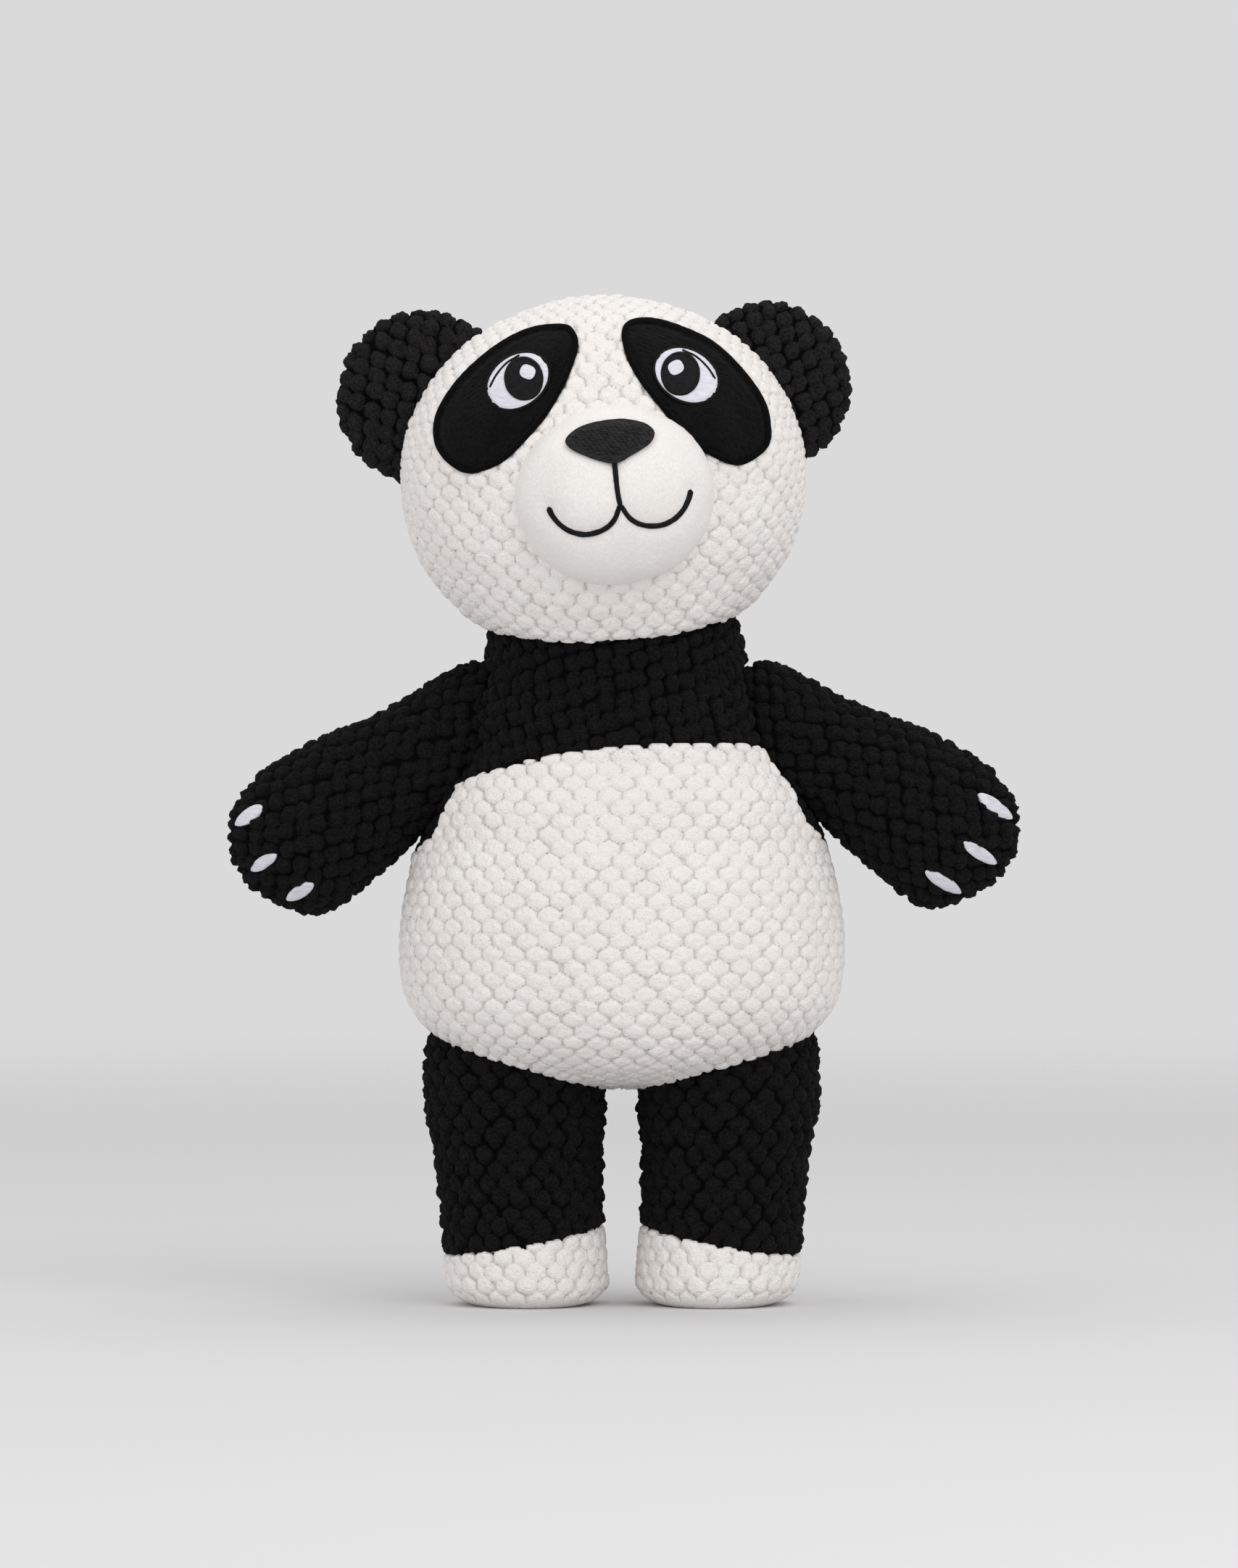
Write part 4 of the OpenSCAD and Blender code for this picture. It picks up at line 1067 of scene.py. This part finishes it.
def make_muzzle():
    shell, u, v, _ = half_shell(MUZZLE_HALF, -1, 125, MUZZLE_GRID)
    points = in_muzzle(shell)
    away = np.full(u.shape, 99.0)
    for x, z in np.concatenate(mouth_runs(5, 8)):
        away = np.minimum(away, np.hypot(shell[..., 0] - x, shell[..., 2] - z))
    outline = closed_outline(NOSE)
    nose = inside_by(shell[..., 0], shell[..., 2], outline)
    front = shell[..., 1] < -5
    cheek = ridge(np.hypot(np.abs(shell[..., 0]) - 15, shell[..., 2] + 4), 11) * front
    lift = -1.1 * ridge(away, 4.0) * front - 0.9 * ridge(nose, 3.5) * front
    lift = lift + 1.1 * cheek + 0.5 * grain(u, v, 17, 15, 41) + 0.10 * grain(u, v, 1.3, 1.3, 42)
    points = points + normals(points, in_muzzle(np.zeros(3))) * lift[..., None]
    piece = grid_object("muzzle_pile", points, CREAM_PILE)
    hand_over(piece, "head", "cream_short_pile", "muzzle_cover", fill=0.9)

    def tatami(x, z, edge):
        rows = 0.19 * np.sin(z * 2 * math.pi / TATAMI + 0.8 * grain(x, z, 2, 1.2, 5))
        ends = 0.18 * np.sin(x * math.pi / TATAMI + np.floor(z / TATAMI) * 2.1)
        rim = 0.9 * between(edge, 0, 2.2) - 0.3 * ridge(edge - 1.9, 0.4)
        return 0.5 + rim + (rows + ends) * between(edge, 1.5, 2.5)

    piece = raised_form("nose_stitching", muzzle_front, outline, 90, tatami, NOSE_THREAD)
    hand_over(piece, "head", "black_embroidery", "nose_embroidery")
    rim = outline + (outline.mean(0) - outline) * 0.045
    rim = np.concatenate([rim, rim[:1]])
    edge = satin_line("nose_edge", muzzle_front, rim, 1.7, 0.6, NOSE_THREAD, True, 0.6)
    hand_over(edge, "head", "black_embroidery")
    right, left, stem = mouth_runs(24, 24)
    for name, run, nodes in (("left", left, ()), ("right", right, ()), ("stem", stem, ("mouth_embroidery",))):
        line = satin_line(f"mouth_stitching_{name}", muzzle_front, run, 2.4, 1.0, BLACK_THREAD, base=-0.6)
        hand_over(line, "head", "black_embroidery", *nodes)


# ---- Ears ----

EAR_AT = np.array([77.5, 6, 36.5])
EAR_LEAN = 29.0
EAR_HINGE = 11.0        # the fold line lies this far inside the middle of the ear
EAR_ROWS = -55.0        # the rows of knots run down and outwards
EAR_TRIM = {LEFT: 0.955, RIGHT: 1.0}        # the panda's left ear is sewn a little smaller,
EAR_SHIFT = {LEFT: (-2.5, 0, -2.5), RIGHT: (0, 0, 0)}       # and a little nearer to the middle


def in_ear(points, s):
    """From the ear's own frame, +X away from the head, to the row frame."""
    leant = turned(points, -EAR_LEAN, "y")
    leant = leant * (s, 1, 1) * EAR_TRIM[s]
    return in_head(leant + EAR_AT * (s, 1, 1) + EAR_SHIFT[s])


def make_ears():
    reach = 92
    for s, side in SIDES.items():
        for name, facing, seed in (("front", -1, 51), ("back", 1, 53)):
            own, u, v, share = half_shell(EAR_HALF, facing, reach, EAR_GRID)
            if facing < 0:
                own[..., 1] -= 1.5 * ridge(np.hypot(own[..., 0] - 4, own[..., 2]), 20)
            rim = (1 - share) * math.radians(reach) * EAR_HALF[0]
            raised, crowns = bobbled(own, own * (0.7, 0, 0.7), *along_rows(u, v, EAR_ROWS), seed + (s < 0),
                                     0.6 * ridge(rim, 2.2), fade=between(rim, -1.5, 1.5), height=BLACK_HEIGHT,
                                     across=9.0, rows=6.4, **BLACK_YARN)
            raised[..., 0] = np.maximum(raised[..., 0], -EAR_HINGE - 9)
            piece = grid_object(f"ear_{name}_plush_{side}", in_ear(raised, s), LIT_EAR_PLUSH, crowns=crowns)
            hand_over(piece, f"ear_{side}", "black_bobble_plush", f"ear_{name}_{side}", fill=0.7)


# ---- Claws ----

def arm_front(s, sections):
    """The front of an arm, from places along it and across it."""
    def surface(x, z):
        half = np.interp(z, sections[:, 0], sections[:, 3])
        deep = np.interp(z, sections[:, 0], sections[:, 4])
        middle = np.interp(z, sections[:, 0], sections[:, 1])
        inside = np.clip(1 - np.abs((x + s * middle) / np.maximum(half, 1)) ** 2.2, 0, 1) ** (1 / 2.2)
        return on_arm(np.stack([x, -deep * inside, z], axis=-1), s)
    return surface


def claw_outline(place, s):
    """A leaf that is pointed at both ends."""
    middle, out, tilt, length = place
    t = np.linspace(0, 2 * math.pi, 96, endpoint=False)
    along = np.cos(t) * length / 2
    across = np.sign(np.sin(t)) * np.abs(np.sin(t)) ** 1.25 * CLAW_W / 2
    a = math.radians(tilt)
    x = out + across * math.cos(a) + along * math.sin(a)
    z = middle - across * math.sin(a) + along * math.cos(a)
    return np.stack([-s * x, z], axis=1)


def make_claws():
    def lift(x, z, edge):
        return 0.1 + 0.35 * between(edge, 0, 1.2) + 0.05 * np.sin((x + z) * 9)

    for s, side in SIDES.items():
        surface = arm_front(s, arm_sections(s))
        for k, place in enumerate(claw_places(s)):
            outline = claw_outline(place, s)
            piece = raised_form(f"claw_{k + 1}_{side}", surface, outline, 26, lift, WHITE_THREAD)
            hand_over(piece, f"arm_{side}", "white_embroidery", *([f"claws_{side}"] if k == 0 else []))


# ---- Soles and what is inside ----

def make_soles():
    half = (0.66 * LEG_W / 2, 0.82 * FOOT_L / 2)
    share = np.linspace(0, 1, 60)[:, None, None]
    for s, side in SIDES.items():
        outline = oval_outline((s * LEG_BOTTOM_X, BODY_Y + FOOT_Y), half, 0, 180, 2.1)
        middle = outline.mean(0)
        flat = middle + share * (outline - middle)[None]
        edge = (1 - share[..., 0]) * np.linalg.norm(outline - middle, axis=1)[None]
        weave = 0.07 * np.sin(flat[..., 0] * 4.2) * np.sin(flat[..., 1] * 4.2)
        height = np.maximum(0.25 + weave + 0.8 * ridge(edge - 3.2, 0.7), 0)
        points = np.concatenate([flat, height[..., None]], axis=-1)
        points = np.concatenate([points, points[-1:] + (0, 0, 2.4)])
        piece = grid_object(f"sole_cloth_{side}", points, SOLE_CLOTH, closed=True)
        hand_over(piece, f"leg_{side}", "white_sole_cloth", f"sole_{side}")


FILLINGS = {"torso_stuffing": "torso", "head_stuffing": "head", "muzzle_stuffing": "head"}
FILLINGS |= {f"{part}_stuffing_{side}": f"{part}_{side}"
             for part in ("ear", "arm", "leg") for side in SIDES.values()}


def make_fillings():
    """Loose fibre in lumps, inside the solid that stands for it."""
    for k, (node, body) in enumerate(FILLINGS.items()):
        piece = shown(node.replace("stuffing", "fibre"), frame["nodes"][node].data.copy())
        voxels = piece.modifiers.new("voxels", "REMESH")
        voxels.mode = "VOXEL"
        voxels.voxel_size = (5.0 if body in ("torso", "head") and "muzzle" not in node else 3.0) * MM
        graph = bpy.context.evaluated_depsgraph_get()
        made = bpy.data.meshes.new_from_object(piece.evaluated_get(graph))
        piece.modifiers.clear()
        piece.data = made
        place, out = vectors(made.vertices, "co") / MM, vectors(made.vertex_normals, "vector")
        tuck = 3.8 if body.startswith("leg") else 2.2
        lumps = 0.6 * grain(place[:, 0] + place[:, 1], place[:, 2] - place[:, 1], 9, 8, 60 + k) - tuck
        place = place + out * lumps[:, None]
        if body.startswith("arm"):
            place[:, 1] = BODY_Y + (place[:, 1] - BODY_Y) / SHOULDER_FLAT
        made.vertices.foreach_set("co", (place * MM).ravel())
        made.materials.clear()
        made.materials.append(FILLING)
        made.polygons.foreach_set("use_smooth", np.ones(len(made.polygons), bool))
        made.update()
        hand_over(piece, body, "fibre_filling", node, fill=0.6)


def paint_frame():
    """Procedural materials for the CAD pieces that are shown as they are."""
    looks = {"board": BOARD, "pellet": PELLETS, "drawstring": THREAD, "stitching": THREAD, "thread": THREAD}
    for name, node in frame["nodes"].items():
        for made in (look for word, look in looks.items() if word in name):
            if not node.material_slots:
                node.data.materials.append(made)
            for slot in node.material_slots:
                slot.material = made


# ---- Camera, floor and light ----

def make_studio():
    world = bpy.data.worlds.new("studio")
    bpy.context.scene.world = world
    world.use_nodes = True
    background = world.node_tree.nodes["Background"]
    background.inputs["Color"].default_value = (0.74, 0.735, 0.74, 1)
    background.inputs["Strength"].default_value = 0.955
    make_floor()
    for label, place, size, power in (
        ("key", (1000, -1800, 1800), 2.0, 19),
        ("fill", (-1900, -1500, 900), 2.0, 6.5),
        ("front", (200, -2600, 150), 2.2, 6.5),
        ("top", (0, 300, 2300), 2.0, 9),
    ):
        light = bpy.data.lights.new(label, "AREA")
        light.size, light.energy = size, power
        lamp = shown(label, light)
        lamp.location = np.array(place) * MM
        lamp.rotation_euler = look_along(np.array((0, 0, 230.0)) - np.array(place))


def make_floor():
    """A disc of pale paper that fades out far from the toy, so that no edge shows from any side."""
    look = Look("studio_floor", 0.9)
    look.shader.inputs["Base Color"].default_value = (0.71, 0.705, 0.71, 1)
    kinds = ("TexCoord", "VectorMath", "MapRange")
    place, length, fade = (look.nodes.new(f"ShaderNode{kind}") for kind in kinds)
    length.operation = "LENGTH"
    fade.interpolation_type = "SMOOTHSTEP"
    fade.inputs["From Min"].default_value, fade.inputs["From Max"].default_value = 1.2, 2.9
    fade.inputs["To Min"].default_value, fade.inputs["To Max"].default_value = 1.0, 0.0
    look.links.new(place.outputs["Object"], length.inputs[0])
    look.links.new(length.outputs["Value"], fade.inputs["Value"])
    look.links.new(fade.outputs["Result"], look.shader.inputs["Alpha"])
    radius, around = np.meshgrid(np.linspace(0.1, 2950, 12), np.linspace(0, 2 * math.pi, 96, endpoint=False),
                                 indexing="ij")
    disc = np.stack([radius * np.cos(around), radius * np.sin(around), 0 * radius - 0.05], axis=-1)
    grid_object("studio_floor", disc, look.made, closed=True)


def look_along(direction):
    """Euler angles of a lamp or camera that looks along a direction."""
    return Vector(direction).to_track_quat("-Z", "Y").to_euler()


def make_camera():
    data = bpy.data.cameras.new("camera")
    camera = shown("camera", data)
    bpy.context.scene.camera = camera
    target = np.array((-1.3, 0, 232.5))
    distance, pitch = 6000.0, math.radians(1.5)
    frame_height = 697.0
    back = np.array((0, -math.cos(pitch), math.sin(pitch)))
    camera.location = (target + back * distance) * MM
    camera.rotation_euler = look_along(-back)
    data.sensor_width = 36
    data.lens = 36 * distance / frame_height
    data.clip_start, data.clip_end = 0.1, 30
    bpy.context.scene.view_settings.view_transform = "Standard"


make_camera()
make_studio()
make_head()
make_eyes()
make_muzzle()
make_ears()
make_torso()
make_arms()
make_claws()
make_legs()
make_soles()
make_fillings()
paint_frame()
